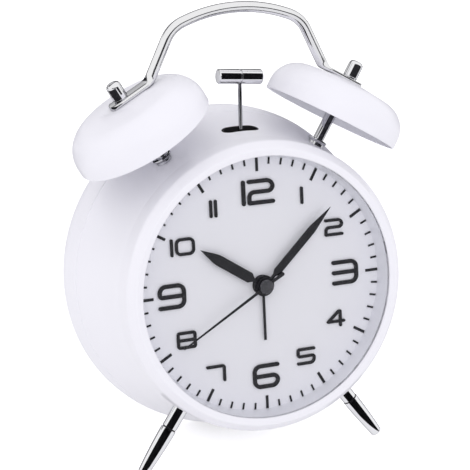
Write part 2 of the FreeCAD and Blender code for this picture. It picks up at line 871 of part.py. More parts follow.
def hands():
    hand("hour_hand", lance(dim.hour_hand_length, dim.hour_hand_width, dim.hour_hub * 0.17,
                            dim.hour_hub + 0.9, dim.hour_hand_length * 0.74),
         dim.hour_hand_front, dim.hour_angle, dim.hour_hub, dim.hour_arbor)
    hand("minute_hand", lance(dim.minute_hand_length, dim.minute_hand_width, dim.minute_hub * 0.2,
                              dim.minute_hub + 2.2, dim.minute_hand_length * 0.72),
         dim.minute_hand_front, dim.minute_angle, dim.minute_hub, dim.minute_arbor)
    hand("alarm_hand", mirrored([
        (dim.alarm_hand_width / 2, -dim.alarm_hand_width),
        (dim.alarm_hand_width / 2, dim.alarm_hand_length),
    ]), dim.alarm_hand_front, dim.alarm_angle, dim.alarm_hub, dim.alarm_arbor)
    hand("second_hand", mirrored([
        (dim.second_hub * 0.4, -dim.second_tail, dim.second_hub * 0.35),
        (dim.second_hub * 0.25, -dim.second_hub),
        (dim.second_hub * 0.27, dim.second_hub),
        (dim.second_hub * 0.13, dim.second_hand_length),
    ]), dim.second_hand_front, dim.second_angle, dim.second_hub, dim.second_arbor)


def arbor_tube(label, outer, bore, front, rear, angle):
    turned(label, [(bore, -front), (outer, -front), (outer, rear), (bore, rear)], turned_frame(angle, 0))


def arbors():
    """Four arbors, one inside the other, that carry the hands."""
    gap = dim.running_gap
    arbor_tube("alarm_tube", dim.alarm_arbor, dim.hour_arbor + gap, dim.alarm_hand_front,
               dim.arbor_rear - dim.arbor_step * 3, dim.alarm_angle)
    arbor_tube("hour_tube", dim.hour_arbor, dim.minute_arbor + gap, dim.hour_hand_front,
               dim.arbor_rear - dim.arbor_step * 2, dim.hour_angle)
    arbor_tube("minute_tube", dim.minute_arbor, dim.second_arbor + gap, dim.minute_hand_front,
               dim.arbor_rear - dim.arbor_step, dim.minute_angle)
    turned("second_arbor", [
        (0, -dim.second_hand_front),
        (dim.second_arbor, -dim.second_hand_front),
        (dim.second_arbor, dim.arbor_rear),
        (0, dim.arbor_rear),
    ], turned_frame(dim.second_angle, 0))
    turned("centre_cap", [
        (0, -dim.cap_front),
        (dim.cap_radius, -dim.cap_front, dim.cap_rounding),
        (dim.cap_radius, -dim.second_hand_front),
        (0, -dim.second_hand_front),
    ], turned_frame(dim.second_angle, 0))


# The movement

def ear_spots():
    return [(side * (dim.ear_reach - dim.ear_tall / 2), -4 * dim.running_gap) for side in (LEFT, RIGHT)]


def movement_housing():
    """The closed quartz movement, with its bush for the hands and its two ears."""
    face = dim.dial_thickness + dim.chassis_thickness
    half = dim.movement_wide / 2
    body = new_body("movement_housing")
    ears = new_sketch(body, "XZ_Plane", "movement_ears", offset=-(face + dim.ear_thickness))
    obround(ears, 0, 0, dim.ear_reach * 2, dim.ear_tall)
    pad(body, ears, dim.ear_thickness)
    box = new_sketch(body, "XZ_Plane", "movement_box", offset=-dim.movement_rear)
    outline(box, [
        (half, -dim.movement_bottom, dim.movement_corner),
        (half, dim.movement_top, dim.movement_corner),
        (-half, dim.movement_top, dim.movement_corner),
        (-half, -dim.movement_bottom, dim.movement_corner),
    ])
    pad(body, box, dim.movement_rear - face)
    axial_circles(body, "movement_bush", [(0, 0)], dim.bush_radius, face, face)
    axial_circles(body, "bush_bore", [(0, 0)], dim.alarm_arbor + dim.running_gap,
                  dim.arbor_rear + 0.3, dim.arbor_rear * 2, cut=True)
    axial_circles(body, "ear_holes", ear_spots(), dim.screw_radius, face + dim.ear_thickness,
                  dim.ear_thickness, cut=True)
    axial_circles(body, "stem_holes", knob_spots(), dim.knob_stem + dim.running_gap,
                  dim.movement_rear, dim.stem_depth + 1, cut=True)
    seam = new_sketch(body, "XZ_Plane", "movement_seam", offset=-(dim.movement_rear * 0.62))
    outline(seam, [
        (half + 2, -dim.movement_bottom - 2),
        (half + 2, dim.movement_top + 2),
        (-half - 2, dim.movement_top + 2),
        (-half - 2, -dim.movement_bottom - 2),
    ])
    inset = dim.movement_seam_depth
    outline(seam, [
        (half - inset, -dim.movement_bottom + inset, dim.movement_corner - inset),
        (half - inset, dim.movement_top - inset, dim.movement_corner - inset),
        (-half + inset, dim.movement_top - inset, dim.movement_corner - inset),
        (-half + inset, -dim.movement_bottom + inset, dim.movement_corner - inset),
    ])
    pocket(body, seam, dim.movement_seam_width, backwards=True)


def knob_spots():
    return [(side * dim.knob_x, dim.knob_z) for side in (LEFT, RIGHT)]


def screw(name, radius, head, length, head_height):
    """A pan-head screw with its axis on Y: the head's seat is at Y = 0 and the head faces the rear."""
    body = doc.addObject("PartDesign::Body", name)
    drawing = new_sketch(body, "XY_Plane", name + "_profile")
    outline(drawing, [
        (0, -length),
        (radius * 0.6, -length),
        (radius, -length + radius),
        (radius, 0),
        (head, 0),
        (head, head_height, head_height * 0.6),
        (0, head_height),
    ])
    revolve(body, drawing)
    cross = new_sketch(body, "XZ_Plane", name + "_cross", offset=-head_height)
    slot = head * 0.16
    reach = head * 0.6
    outline(cross, [
        (slot, slot), (slot, reach), (-slot, reach), (-slot, slot), (-reach, slot), (-reach, -slot),
        (-slot, -slot), (-slot, -reach), (slot, -reach), (slot, -slot), (reach, -slot), (reach, slot),
    ])
    pocket(body, cross, head_height * 0.55, backwards=True)
    return body


def screw_set(label, spots, seat, length):
    """One group of identical screws, parallel to the dial's axis, with their heads on the plane Y = seat."""
    members = []
    for index, (x, z) in enumerate(spots):
        body = screw(f"{label}_{index}", dim.screw_radius - 0.05, dim.screw_head, length, dim.screw_head_height)
        body.Placement = stance.multiply(Placement(Vector(number_of(x), number_of(seat), number_of(z)), Rotation()))
        members.append(body)
    compound(label, members)


# Bells, posts and handle

def bell(label, side):
    """A pressed steel dome, hollow, with a rounded shoulder and a low crown."""
    top, rim = dim.bell_top, dim.bell_top - dim.bell_depth
    edge, wall = dim.bell_radius, dim.bell_wall
    bore = dim.stud_radius + dim.fit_gap
    turned(label, [
        (bore, top),
        (dim.bell_boss, top, dim.bell_boss_rounding),
        (edge, top - dim.bell_crown, dim.bell_shoulder),
        (edge, rim, wall * 0.4),
        (edge - wall, rim, wall * 0.4),
        (edge - wall, top - dim.bell_crown - wall, dim.bell_shoulder - wall),
        (dim.bell_boss, top - wall, dim.bell_boss_rounding),
        (bore, top - wall),
    ], bell_frame(side), along="Z")


def bell_post(label, side):
    """A chrome post through the drum; its top is cut to the bell and carries the bell's stud."""
    under_bell = dim.bell_top - dim.bell_wall
    shaft = doc.addObject("PartDesign::Body", label + "_shaft")
    drawing = new_sketch(shaft, "XZ_Plane", label + "_profile")
    outline(drawing, [
        (0, dim.post_inner_end),
        (dim.post_radius - dim.chamfer, dim.post_inner_end),
        (dim.post_radius, dim.post_inner_end + dim.chamfer),
        (dim.post_radius, dim.bell_top),
        (0, dim.bell_top),
    ])
    revolve(shaft, drawing)
    shaft.Placement = stance.multiply(post_frame(side))
    bell_side = doc.addObject("PartDesign::Body", label + "_bell_side")
    drawing = new_sketch(bell_side, "XY_Plane", label + "_bell_plane", offset=under_bell)
    ring_at(drawing, 0, 0, dim.bell_boss)
    pad(bell_side, drawing, dim.bell_depth)
    bell_side.Placement = stance.multiply(bell_frame(side))
    stud = doc.addObject("PartDesign::Body", label + "_stud")
    drawing = new_sketch(stud, "XZ_Plane", label + "_stud_profile")
    outline(drawing, [
        (0, under_bell - dim.post_radius),
        (dim.stud_radius, under_bell - dim.post_radius),
        (dim.stud_radius, cap_seat() + dim.cap_nut_height * 0.6),
        (0, cap_seat() + dim.cap_nut_height * 0.6),
    ])
    revolve(stud, drawing)
    stud.Placement = stance.multiply(bell_frame(side))
    trimmed = doc.addObject("Part::Cut", label + "_trimmed")
    trimmed.Base = shaft
    trimmed.Tool = bell_side
    post = doc.addObject("Part::Fuse", label)
    post.Base = trimmed
    post.Tool = stud
    post.Label = label
    pieces.append(post)


def cap_seat():
    """Height of the handle's flat end, on which the cap nut sits."""
    return dim.bell_top + dim.tab_thickness


def drum_envelope():
    """The outer form of the drum as one solid, used to shape what seats on it."""
    body = doc.addObject("PartDesign::Body", "drum_envelope")
    drawing = new_sketch(body, "XY_Plane", "envelope_profile")
    outline(drawing, [(0, -dim.rim_front), (dim.drum_front_radius, -dim.rim_front)]
            + drum_outline(0) + [(0, dim.drum_depth)])
    revolve(body, drawing)
    body.Placement = stance
    return body


def seated_on(label, body, envelope):
    """The part of a body that stands outside the form it sits on."""
    cut = doc.addObject("Part::Cut", label)
    cut.Base = body
    cut.Tool = envelope
    cut.Label = label
    pieces.append(cut)
    return cut


def post_collars(envelope):
    """A flared collar round each post, shaped to the drum underneath."""
    for side, name in ((LEFT, "left"), (RIGHT, "right")):
        body = doc.addObject("PartDesign::Body", f"collar_{name}")
        drawing = new_sketch(body, "XZ_Plane", f"collar_{name}_profile")
        outline(drawing, [
            (dim.post_radius, dim.collar_top - dim.collar_height),
            (dim.collar_radius, dim.collar_top - dim.collar_height),
            (dim.collar_radius, dim.collar_top, dim.collar_edge),
            (dim.collar_radius - dim.collar_edge * 3, dim.collar_top - dim.collar_dish),
            (dim.post_radius, dim.collar_top - dim.collar_dish),
        ])
        revolve(body, drawing)
        body.Placement = stance.multiply(post_frame(side))
        seated_on(f"post_collar_{name}", body, envelope)


def cap_nuts():
    """The domed nuts that hold each bell and one end of the handle."""
    seat = cap_seat()
    for side, name in ((LEFT, "left"), (RIGHT, "right")):
        turned(f"cap_nut_{name}", [
            (dim.stud_radius, seat),
            (dim.cap_nut_radius * 0.86, seat),
            (dim.cap_nut_radius, seat + dim.cap_nut_foot, 0.3),
            (dim.cap_nut_radius, seat + dim.cap_nut_height, dim.cap_nut_rounding),
            (0, seat + dim.cap_nut_height),
            (0, seat + dim.cap_nut_height * 0.6),
            (dim.stud_radius, seat + dim.cap_nut_height * 0.6),
        ], bell_frame(side), along="Z")


def post_nuts():
    """A hexagon nut and washer on the inner end of each post."""
    members = []
    seat = drum_radius_at(dim.bell_plane - dim.nut_across * 0.6) - dim.wall - dim.fit_gap * 3
    for side, name in ((LEFT, "left"), (RIGHT, "right")):
        body = doc.addObject("PartDesign::Body", f"post_nut_{name}")
        drawing = new_sketch(body, "XY_Plane", f"post_nut_{name}_outline", offset=seat - dim.nut_thickness)
        reach = dim.nut_across / math.sqrt(3)
        outline(drawing, [(reach * math.cos(k * math.pi / 3), reach * math.sin(k * math.pi / 3)) for k in range(6)])
        ring_at(drawing, 0, 0, dim.post_radius)
        pad(body, drawing, dim.nut_thickness)
        body.Placement = stance.multiply(post_frame(side))
        members.append(body)
    compound("post_nuts", members)


def handle_corners():
    """Arch centre, shoulder, bend and bore of the handle's right half, in the upright plane of the bells."""
    tilt = math.radians(float(dim.bell_lean))
    normal = Vector(math.sin(tilt), 0, math.cos(tilt))
    top = post_frame(RIGHT).multVec(Vector(0, 0, float(dim.bell_top)))
    bore = Vector(top.x, 0, top.z) + normal * (float(dim.tab_thickness) / 2)
    bend_x = float(dim.bend_x)
    bend = Vector(bend_x, 0, (bore.dot(normal) - bend_x * math.sin(tilt)) / math.cos(tilt))
    arch = float(dim.handle_arch)
    shoulder_x = float(dim.shoulder_x)
    arch_centre = Vector(0, 0, float(dim.handle_top) - arch)
    shoulder = Vector(shoulder_x, 0, arch_centre.z + math.sqrt(arch ** 2 - (0.72 * shoulder_x) ** 2)
                      - 0.28 * shoulder_x * 0.72 * shoulder_x / arch)
    return arch_centre, shoulder, bend, bore


def handle():
    """A bent chrome rod whose two ends are pressed flat and bored for the posts."""
    arch_centre, shoulder, bend, seat = handle_corners()
    tilt = math.radians(float(dim.bell_lean))
    out = Vector(math.cos(tilt), 0, -math.sin(tilt))
    normal = Vector(math.sin(tilt), 0, math.cos(tilt))
    radius = float(dim.handle_radius)
    arch = float(dim.handle_arch)
    arm = (bend - shoulder).normalize()
    # The shoulder arc touches both the arch and the arm
    side_normal = Vector(arm.z, 0, -arm.x)
    if side_normal.dot(arch_centre - shoulder) < 0:
        side_normal = side_normal * -1
    turn = float(dim.shoulder_radius)
    line_spot = shoulder + side_normal * turn
    # Centre of the shoulder arc: at `turn` from the arm's line and at arch - turn from the arch's centre
    rel = line_spot - arch_centre
    b, c = rel.dot(arm), rel.dot(rel) - (arch - turn) ** 2
    step = -b - math.sqrt(b * b - c)
    turn_centre = line_spot + arm * step
    on_arm = turn_centre - side_normal * turn
    on_arch = arch_centre + (turn_centre - arch_centre).normalize() * arch
    turn_middle = turn_centre + ((on_arm + on_arch) * 0.5 - turn_centre).normalize() * turn
    apex = arch_centre + Vector(0, 0, arch)
    arch_middle = arch_centre + ((apex + on_arch) * 0.5 - arch_centre).normalize() * arch
    # The bend from the arm to the flat end
    half_turn = (arm * -1).getAngle(out) / 2
    reach = float(dim.bend_radius) / math.tan(half_turn)
    bend_start, bend_end = bend - arm * reach, bend + out * reach
    bend_centre = bend + (out - arm).normalize() * (float(dim.bend_radius) / math.sin(half_turn))
    half_path = [
        Part.LineSegment(bend_start, on_arm).toShape(),
        Part.Arc(on_arm, turn_middle, on_arch).toShape(),
        Part.Arc(on_arch, arch_middle, apex).toShape(),
    ]
    rod_wire = Part.Wire(half_path)
    ring = Part.Wire([Part.Circle(bend_start, arm, radius).toShape()])
    rod = rod_wire.makePipeShell([ring], True, False)
    # From the round rod to the flat end: a loft of rounded sections round the bend
    sections = [ring]
    flat_half, flat_width = float(dim.tab_thickness) / 2, float(dim.tab_width) / 2
    steps = 4
    for k in range(1, steps + 1):
        share = k / steps
        if share < 1:
            angle = math.degrees(math.pi - 2 * half_turn) * share
            spin = Rotation(Vector(0, 1, 0), -angle if bend_centre.x > bend.x else angle)
            spot = bend_centre + spin.multVec(bend_start - bend_centre)
            along = spin.multVec(arm)
        else:
            spot, along = bend_end, out
        across = Vector(0, 1, 0)
        up = across.cross(along).normalize()
        sections.append(flattened_ring(spot, up, across, radius + (flat_half - radius) * share,
                                       radius + (flat_width - radius) * share))
    neck = Part.makeLoft(sections, True, False)
    # The flat end with its bore
    length = (seat - bend_end).dot(out)
    strip = Part.makeBox(length, 2 * flat_width, 2 * flat_half,
                         Vector(0, -flat_width, -flat_half), Vector(0, 0, 1))
    end = Part.makeCylinder(flat_width, 2 * flat_half, Vector(length, 0, -flat_half), Vector(0, 0, 1))
    longer = Part.makeCylinder(float(dim.tab_overhang), 2 * flat_half, Vector(length, 0, -flat_half), Vector(0, 0, 1))
    trim = Part.makeBox(2 * float(dim.tab_overhang), 2 * flat_width, 2 * flat_half,
                        Vector(length - float(dim.tab_overhang), -flat_width, -flat_half), Vector(0, 0, 1))
    tab = strip.fuse(end).fuse(longer.common(trim))
    bore = Part.makeCylinder(float(dim.stud_radius + dim.fit_gap), 4 * flat_half,
                             Vector(length, 0, -2 * flat_half), Vector(0, 0, 1))
    tab = tab.cut(bore)
    tab.Placement = Placement(bend_end, Rotation(out, Vector(0, 1, 0), normal, "ZXY"))
    half = rod.fuse([neck, tab])
    whole = half.fuse(half.mirror(Vector(0, 0, 0), Vector(1, 0, 0))).removeSplitter()
    feature = doc.addObject("Part::Feature", "handle")
    feature.Shape = whole
    keep(feature, "handle", crown_frame())


def flattened_ring(spot, up, across, thick, wide):
    """A closed section that is round when both halves are equal and a rounded strip when they aren't."""
    corner = min(thick, wide) * 0.999
    flat_w, flat_t = wide - corner, thick - corner
    arcs = []
    for su, sa in ((1, 1), (1, -1), (-1, -1), (-1, 1)):
        centre = spot + up * (su * flat_t) + across * (sa * flat_w)
        arcs.append((centre, su, sa))
    edges = []
    diagonal = math.sqrt(0.5)
    spots = []
    for k, (centre, su, sa) in enumerate(arcs):
        on_up, on_side = centre + up * (su * corner), centre + across * (sa * corner)
        middle = centre + (up * su + across * sa) * (corner * diagonal)
        first, last = (on_side, on_up) if k % 2 == 0 else (on_up, on_side)
        spots.append((first, middle, last))
    for k, (first, middle, last) in enumerate(spots):
        edges.append(Part.Arc(first, middle, last).toShape())
        following = spots[(k + 1) % 4][0]
        edges.append(Part.LineSegment(last, following).toShape())
    return Part.Wire(edges)


# Hammer and its electromagnet

def slot_liner(envelope):
    """The dark sleeve in the slot through which the hammer rod passes."""
    body = doc.addObject("PartDesign::Body", "liner_body")
    low = dim.drum_front_radius - dim.slot_liner_wall * 2
    long, wide = dim.slot_length - dim.running_gap * 2, dim.slot_width - dim.running_gap * 2
    for name, inset, cut in (("liner_outer", 0, False), ("liner_inner", dim.slot_liner_wall * 2, True)):
        length, width = long - inset, wide - inset
        drawing = new_sketch(body, "XY_Plane", name, offset=low)
        obround(drawing, 0, dim.bell_plane, length, width)
        if cut:
            pocket(body, drawing, dim.wall * 6, backwards=True)
        else:
            pad(body, drawing, dim.wall * 5)
    body.Placement = stance
    liner = doc.addObject("Part::Common", "slot_liner")
    liner.Base = body
    liner.Tool = envelope
    liner.Label = "slot_liner"
    pieces.append(liner)


def hammer_bracket():
    """A folded sheet: its front leaf is screwed to the ledge and both leaves carry the hammer's pivot."""
    body = new_body("hammer_bracket")
    drawing = new_sketch(body, "YZ_Plane", "bracket_profile")
    front, rear, sheet = dim.ledge_rear, dim.bracket_rear, dim.sheet
    outline(drawing, [
        (front, dim.bracket_high),
        (front, dim.bracket_low, 2 * sheet),
        (rear, dim.bracket_low, 2 * sheet),
        (rear, dim.bracket_rear_high),
        (rear - sheet, dim.bracket_rear_high),
        (rear - sheet, dim.bracket_low + sheet, sheet),
        (front + sheet, dim.bracket_low + sheet, sheet),
        (front + sheet, dim.bracket_high),
    ])
    pad(body, drawing, dim.bracket_wide, both=True)
    axial_circles(body, "pivot_holes", [(0, dim.hammer_pivot)], dim.pivot_radius, rear + 1,
                  rear - front + 2, cut=True)
    axial_circles(body, "screw_holes", bracket_screw_spots(), dim.screw_radius, front + sheet * 2,
                  sheet * 3, cut=True)


def pivot_frame():
    """The hammer's own frame: origin on the pivot, Z along the rod."""
    spot = Vector(0, float(dim.bell_plane), float(dim.hammer_pivot))
    return Placement(spot, Rotation(Vector(0, 1, 0), float(dim.hammer_lean)))


def hammer_yoke():
    """Hub, socket for the rod and the armature that hangs between the poles."""
    body = new_body("hammer_yoke", pivot_frame())
    gap = dim.bracket_rear - dim.ledge_rear - dim.sheet * 2 - dim.fit_gap * 2
    hub = new_sketch(body, "XZ_Plane", "yoke_hub")
    ring_at(hub, 0, 0, dim.yoke_radius)
    pad(body, hub, gap, both=True)
    blade = new_sketch(body, "XZ_Plane", "yoke_blade")
    half, neck, drop = dim.armature_wide / 2, dim.armature_wide * 0.28, dim.armature_drop
    outline(blade, [
        (neck, -neck),
        (-neck, -neck),
        (-neck, -drop),
        (-half, -drop),
        (-half, -drop - dim.armature_tall, 0.6),
        (half, -drop - dim.armature_tall, 0.6),
        (half, -drop),
        (neck, -drop),
    ])
    pad(body, blade, dim.armature_thickness, both=True)
    socket = new_sketch(body, "XZ_Plane", "yoke_socket")
    rod, base = dim.hammer_rod_radius, dim.yoke_radius + dim.chamfer
    outline(socket, [
        (0, dim.pivot_radius + 0.6),
        (dim.socket_radius, dim.pivot_radius + 0.6),
        (dim.socket_radius, dim.socket_height, 0.4),
        (rod, dim.socket_height),
        (rod, base),
        (0, base),
    ])
    revolve(body, socket)
    bore = new_sketch(body, "XZ_Plane", "yoke_bore")
    ring_at(bore, 0, 0, dim.pivot_radius + dim.running_gap)
    pocket(body, bore, gap * 2, both=True)


def hammer_parts():
    frame = pivot_frame()
    reach = (dim.hammer_head_z - dim.hammer_pivot) / cosine(dim.hammer_lean)
    base = dim.yoke_radius + dim.chamfer
    turned("hammer_rod", [
        (0, base),
        (dim.hammer_rod_radius, base),
        (dim.hammer_rod_radius, reach),
        (0, reach),
    ], frame, along="Z")
    turn = Rotation(Vector(0, 1, 0), 90 + float(dim.head_tilt))
    half, radius, groove = dim.hammer_head_length / 2, dim.hammer_head_radius, dim.hammer_groove
    head = doc.addObject("PartDesign::Body", "head_body")
    drawing = new_sketch(head, "XZ_Plane", "head_profile")
    outline(drawing, [
        (0, -half),
        (radius, -half, dim.hammer_head_rounding),
        (radius, -groove),
        (radius - groove, -groove),
        (radius - groove, groove),
        (radius, groove),
        (radius, half, dim.hammer_head_rounding),
        (0, half),
    ])
    revolve(head, drawing)
    head.Placement = stance.multiply(frame.multiply(Placement(Vector(0, 0, float(reach)), turn)))
    rod = doc.addObject("PartDesign::Body", "head_bore")
    drawing = new_sketch(rod, "XY_Plane", "head_bore_outline", offset=reach - radius * 2)
    ring_at(drawing, 0, 0, dim.hammer_rod_radius)
    pad(rod, drawing, radius * 2)
    rod.Placement = stance.multiply(frame)
    seated_on("hammer_head", head, rod)
    turned("hammer_pivot_pin", [
        (0, dim.ledge_rear),
        (dim.pivot_radius, dim.ledge_rear),
        (dim.pivot_radius, dim.bracket_rear),
        (dim.pivot_radius * 1.5, dim.bracket_rear),
        (dim.pivot_radius * 1.5, dim.bracket_rear + 0.5),
        (0, dim.bracket_rear + 0.5),
    ], Placement(Vector(0, 0, float(dim.hammer_pivot)), Rotation()))


def coil_height():
    return dim.bracket_low + dim.sheet + dim.coil_radius


def electromagnet():
    """A laminated core with two poles, one on each side of the armature, and its wound bobbin."""
    body = new_body("magnet_core")
    half, bar = dim.pole_gap / 2, dim.core_thickness
    low = coil_height() - bar / 2
    drawing = new_sketch(body, "XZ_Plane", "core_outline", offset=-dim.bell_plane - dim.core_depth / 2)
    outline(drawing, [
        (half + bar, low, dim.core_rounding),
        (half + bar, dim.pole_top),
        (half, dim.pole_top),
        (half, low + bar),
        (-half, low + bar),
        (-half, dim.pole_top),
        (-half - bar, dim.pole_top),
        (-half - bar, low, dim.core_rounding),
    ])
    pad(body, drawing, dim.core_depth)
    along = Placement(Vector(0, float(dim.bell_plane), float(coil_height())), Rotation(Vector(0, 1, 0), 90))
    reach = dim.coil_length / 2
    coil = turned("magnet_coil", [
        (0, -reach),
        (dim.coil_radius, -reach),
        (dim.coil_radius, -reach + dim.bobbin_flange),
        (dim.coil_radius - dim.chamfer, -reach + dim.bobbin_flange),
        (dim.coil_radius - dim.chamfer, reach - dim.bobbin_flange),
        (dim.coil_radius, reach - dim.bobbin_flange),
        (dim.coil_radius, reach),
        (0, reach),
    ], along, along="Z")
    bore = new_sketch(coil, "XY_Plane", "coil_bore")
    tall, deep = bar / 2, dim.core_depth / 2
    outline(bore, [(tall, deep), (-tall, deep), (-tall, -deep), (tall, -deep)])
    pocket(coil, bore, reach * 3, both=True)


# Legs

def legs(envelope):
    """Two chrome legs, screwed onto studs in the ledge, with a groove near the drum."""
    studs = []
    top, belly, tip = dim.leg_top_radius, dim.leg_belly_radius, dim.leg_tip_radius
    groove, width = dim.leg_groove_at, dim.leg_groove_width
    for side, name in ((LEFT, "left"), (RIGHT, "right")):
        frame = turned_frame(180 - side * dim.leg_angle, dim.leg_plane)
        body = doc.addObject("PartDesign::Body", f"leg_{name}_body")
        drawing = new_sketch(body, "XZ_Plane", f"leg_{name}_profile")
        outline(drawing, [
            (dim.leg_stud, dim.leg_root),
            (top, dim.leg_root),
            (top, groove - width),
            (top - dim.leg_groove_depth, groove - width),
            (top - dim.leg_groove_depth, groove),
            (belly, groove, 0.25),
            (tip, leg_tip, dim.leg_tip_rounding),
            (0, leg_tip),
            (0, dim.leg_stud_outer),
            (dim.leg_stud, dim.leg_stud_outer),
        ])
        revolve(body, drawing)
        body.Placement = stance.multiply(frame)
        seated_on(f"leg_{name}", body, envelope)
        stud = doc.addObject("PartDesign::Body", f"stud_{name}")
        drawing = new_sketch(stud, "XZ_Plane", f"stud_{name}_profile")
        outline(drawing, [
            (0, dim.leg_stud_inner),
            (dim.leg_stud - dim.chamfer, dim.leg_stud_inner),
            (dim.leg_stud, dim.leg_stud_inner + dim.chamfer),
            (dim.leg_stud, dim.leg_stud_outer),
            (0, dim.leg_stud_outer),
        ])
        revolve(stud, drawing)
        stud.Placement = stance.multiply(frame)
        studs.append(stud)
    compound("leg_studs", studs)


# Rear cover and what it carries

def bay_corners(wide, tall, centre, corner=None):
    """A rounded rectangle about x = 0 for the battery bay and its door."""
    half, rise = wide / 2, tall / 2
    spots = [(half, centre - rise), (half, centre + rise), (-half, centre + rise), (-half, centre - rise)]
    return [spot + (corner,) for spot in spots] if corner is not None else spots


def panel_rear():
    return dim.case_depth - dim.cover_recess


def door_axis():
    """The door's hinge line, measured as depth and height."""
    low = -dim.bay_centre - dim.bay_tall / 2 - dim.door_overlap + dim.door_gap + dim.door_thickness / 2
    return panel_rear() - dim.door_thickness / 2, low


def rear_cover():
    """The cup that closes the drum, with a recessed panel, the battery bay and the control openings."""
    inner = panel_rear() - dim.cover_wall
    rear, seam_y = dim.case_depth, dim.drum_depth
    outer, full, flare = dim.drum_rear_radius, dim.cover_radius, dim.drum_depth + dim.cover_flare
    taper = (dim.drum_rear_radius - dim.drum_waist_radius) / (dim.drum_depth - dim.drum_waist_depth)
    spigot = outer - dim.wall - dim.fit_gap
    wall = dim.cover_rim_wall
    recess = dim.cover_recess_radius
    body = turned("rear_cover", [
        (0, inner),
        (recess + wall, inner),
        (recess + wall, rear - wall),
        (full - wall, rear - wall, dim.cover_rounding - wall),
        (full - wall, flare),
        (outer - wall, seam_y + wall, 0.5),
        (spigot - wall, seam_y + wall, 0.5),
        (spigot - wall, seam_y - dim.cover_spigot),
        (spigot - taper * dim.cover_spigot, seam_y - dim.cover_spigot),
        (spigot, seam_y),
        (outer, seam_y, dim.seam),
        (full, flare, dim.cover_flare),
        (full, rear, dim.cover_rounding),
        (recess, rear, 0.8),
        (recess - 0.6, panel_rear(), 0.5),
        (0, panel_rear()),
    ])
    floor = panel_rear() - dim.door_thickness - dim.bay_depth
    centre = -dim.bay_centre
    opening_wide = dim.bay_wide + dim.door_overlap * 2
    opening_tall = dim.bay_tall + dim.door_overlap * 2
    block = new_sketch(body, "XZ_Plane", "bay_block", offset=-inner - 0.5)
    outline(block, bay_corners(opening_wide + dim.bay_wall * 2, opening_tall + dim.bay_wall * 2, centre,
                               dim.bay_corner + dim.bay_wall))
    pad(body, block, inner + 0.5 - floor + dim.bay_wall)
    rebate = new_sketch(body, "XZ_Plane", "door_rebate", offset=-panel_rear())
    outline(rebate, bay_corners(opening_wide, opening_tall, centre))
    pocket(body, rebate, dim.door_thickness, backwards=True)
    bay = new_sketch(body, "XZ_Plane", "bay_cut", offset=-panel_rear())
    outline(bay, bay_corners(dim.bay_wide, dim.bay_tall, centre, dim.bay_corner))
    pocket(body, bay, dim.door_thickness + dim.bay_depth, backwards=True)
    notch = new_sketch(body, "XZ_Plane", "finger_notch", offset=-panel_rear())
    top = centre + opening_tall / 2
    notch_half = dim.tab_wide / 2 + dim.door_gap
    outline(notch, [(notch_half, top - 1), (notch_half, top + dim.tab_tall, 1.5),
                    (-notch_half, top + dim.tab_tall, 1.5), (-notch_half, top - 1)])
    pocket(body, notch, dim.door_thickness * 0.6, backwards=True)
    depth, low = door_axis()
    pins = new_sketch(body, "YZ_Plane", "door_pin_holes")
    ring_at(pins, depth, low, dim.door_pin + dim.fit_gap)
    pocket(body, pins, opening_wide + dim.door_pin_reach * 2 + 0.4, both=True)
    axial_circles(body, "stem_clearance", knob_spots(), dim.knob_stem + 0.5, panel_rear(), dim.cover_wall, cut=True)
    axial_circles(body, "cover_screw_holes", screw_spots(), dim.screw_radius, panel_rear(), dim.cover_wall, cut=True)
    slot = new_sketch(body, "XZ_Plane", "switch_slot", offset=-panel_rear())
    half = (dim.switch_wide + dim.switch_travel) / 2 + dim.door_gap
    rise = dim.switch_tall / 2 + dim.door_gap
    outline(slot, [(half, dim.switch_z - rise), (half, dim.switch_z + rise),
                   (-half, dim.switch_z + rise), (-half, dim.switch_z - rise)])
    pocket(body, slot, dim.cover_wall, backwards=True)


def battery_door():
    """A flush door on two pins at its lower edge, with a finger tab at the top."""
    depth, low = door_axis()
    body = new_body("battery_door")
    gap = dim.door_gap
    half = dim.bay_wide / 2 + dim.door_overlap - gap
    top = -dim.bay_centre + dim.bay_tall / 2 + dim.door_overlap - gap
    thick = dim.door_thickness
    side = new_sketch(body, "YZ_Plane", "door_profile")
    outline(side, [
        (panel_rear(), low - thick / 2, thick * 0.499),
        (panel_rear(), top),
        (panel_rear() - thick, top),
        (panel_rear() - thick, low - thick / 2, thick * 0.499),
    ])
    pad(body, side, half * 2, both=True)
    tab = new_sketch(body, "XZ_Plane", "door_tab", offset=-panel_rear())
    outline(tab, [(dim.tab_wide / 2, top - 1), (dim.tab_wide / 2, top + dim.tab_tall, 1.2),
                  (-dim.tab_wide / 2, top + dim.tab_tall, 1.2), (-dim.tab_wide / 2, top - 1)])
    pad(body, tab, thick * 0.5)
    for index in range(3):
        rib = new_sketch(body, "XZ_Plane", f"tab_rib_{index}", offset=-panel_rear() - 0.4)
        level = top - 3 - index * 1.8
        outline(rib, [(dim.tab_wide / 2, level), (dim.tab_wide / 2, level + 0.8),
                      (-dim.tab_wide / 2, level + 0.8), (-dim.tab_wide / 2, level)])
        pad(body, rib, 0.8)
    pin = new_sketch(body, "YZ_Plane", "door_pins")
    ring_at(pin, depth, low, dim.door_pin)
    pad(body, pin, half * 2 + (gap + dim.door_pin_reach) * 2, both=True)


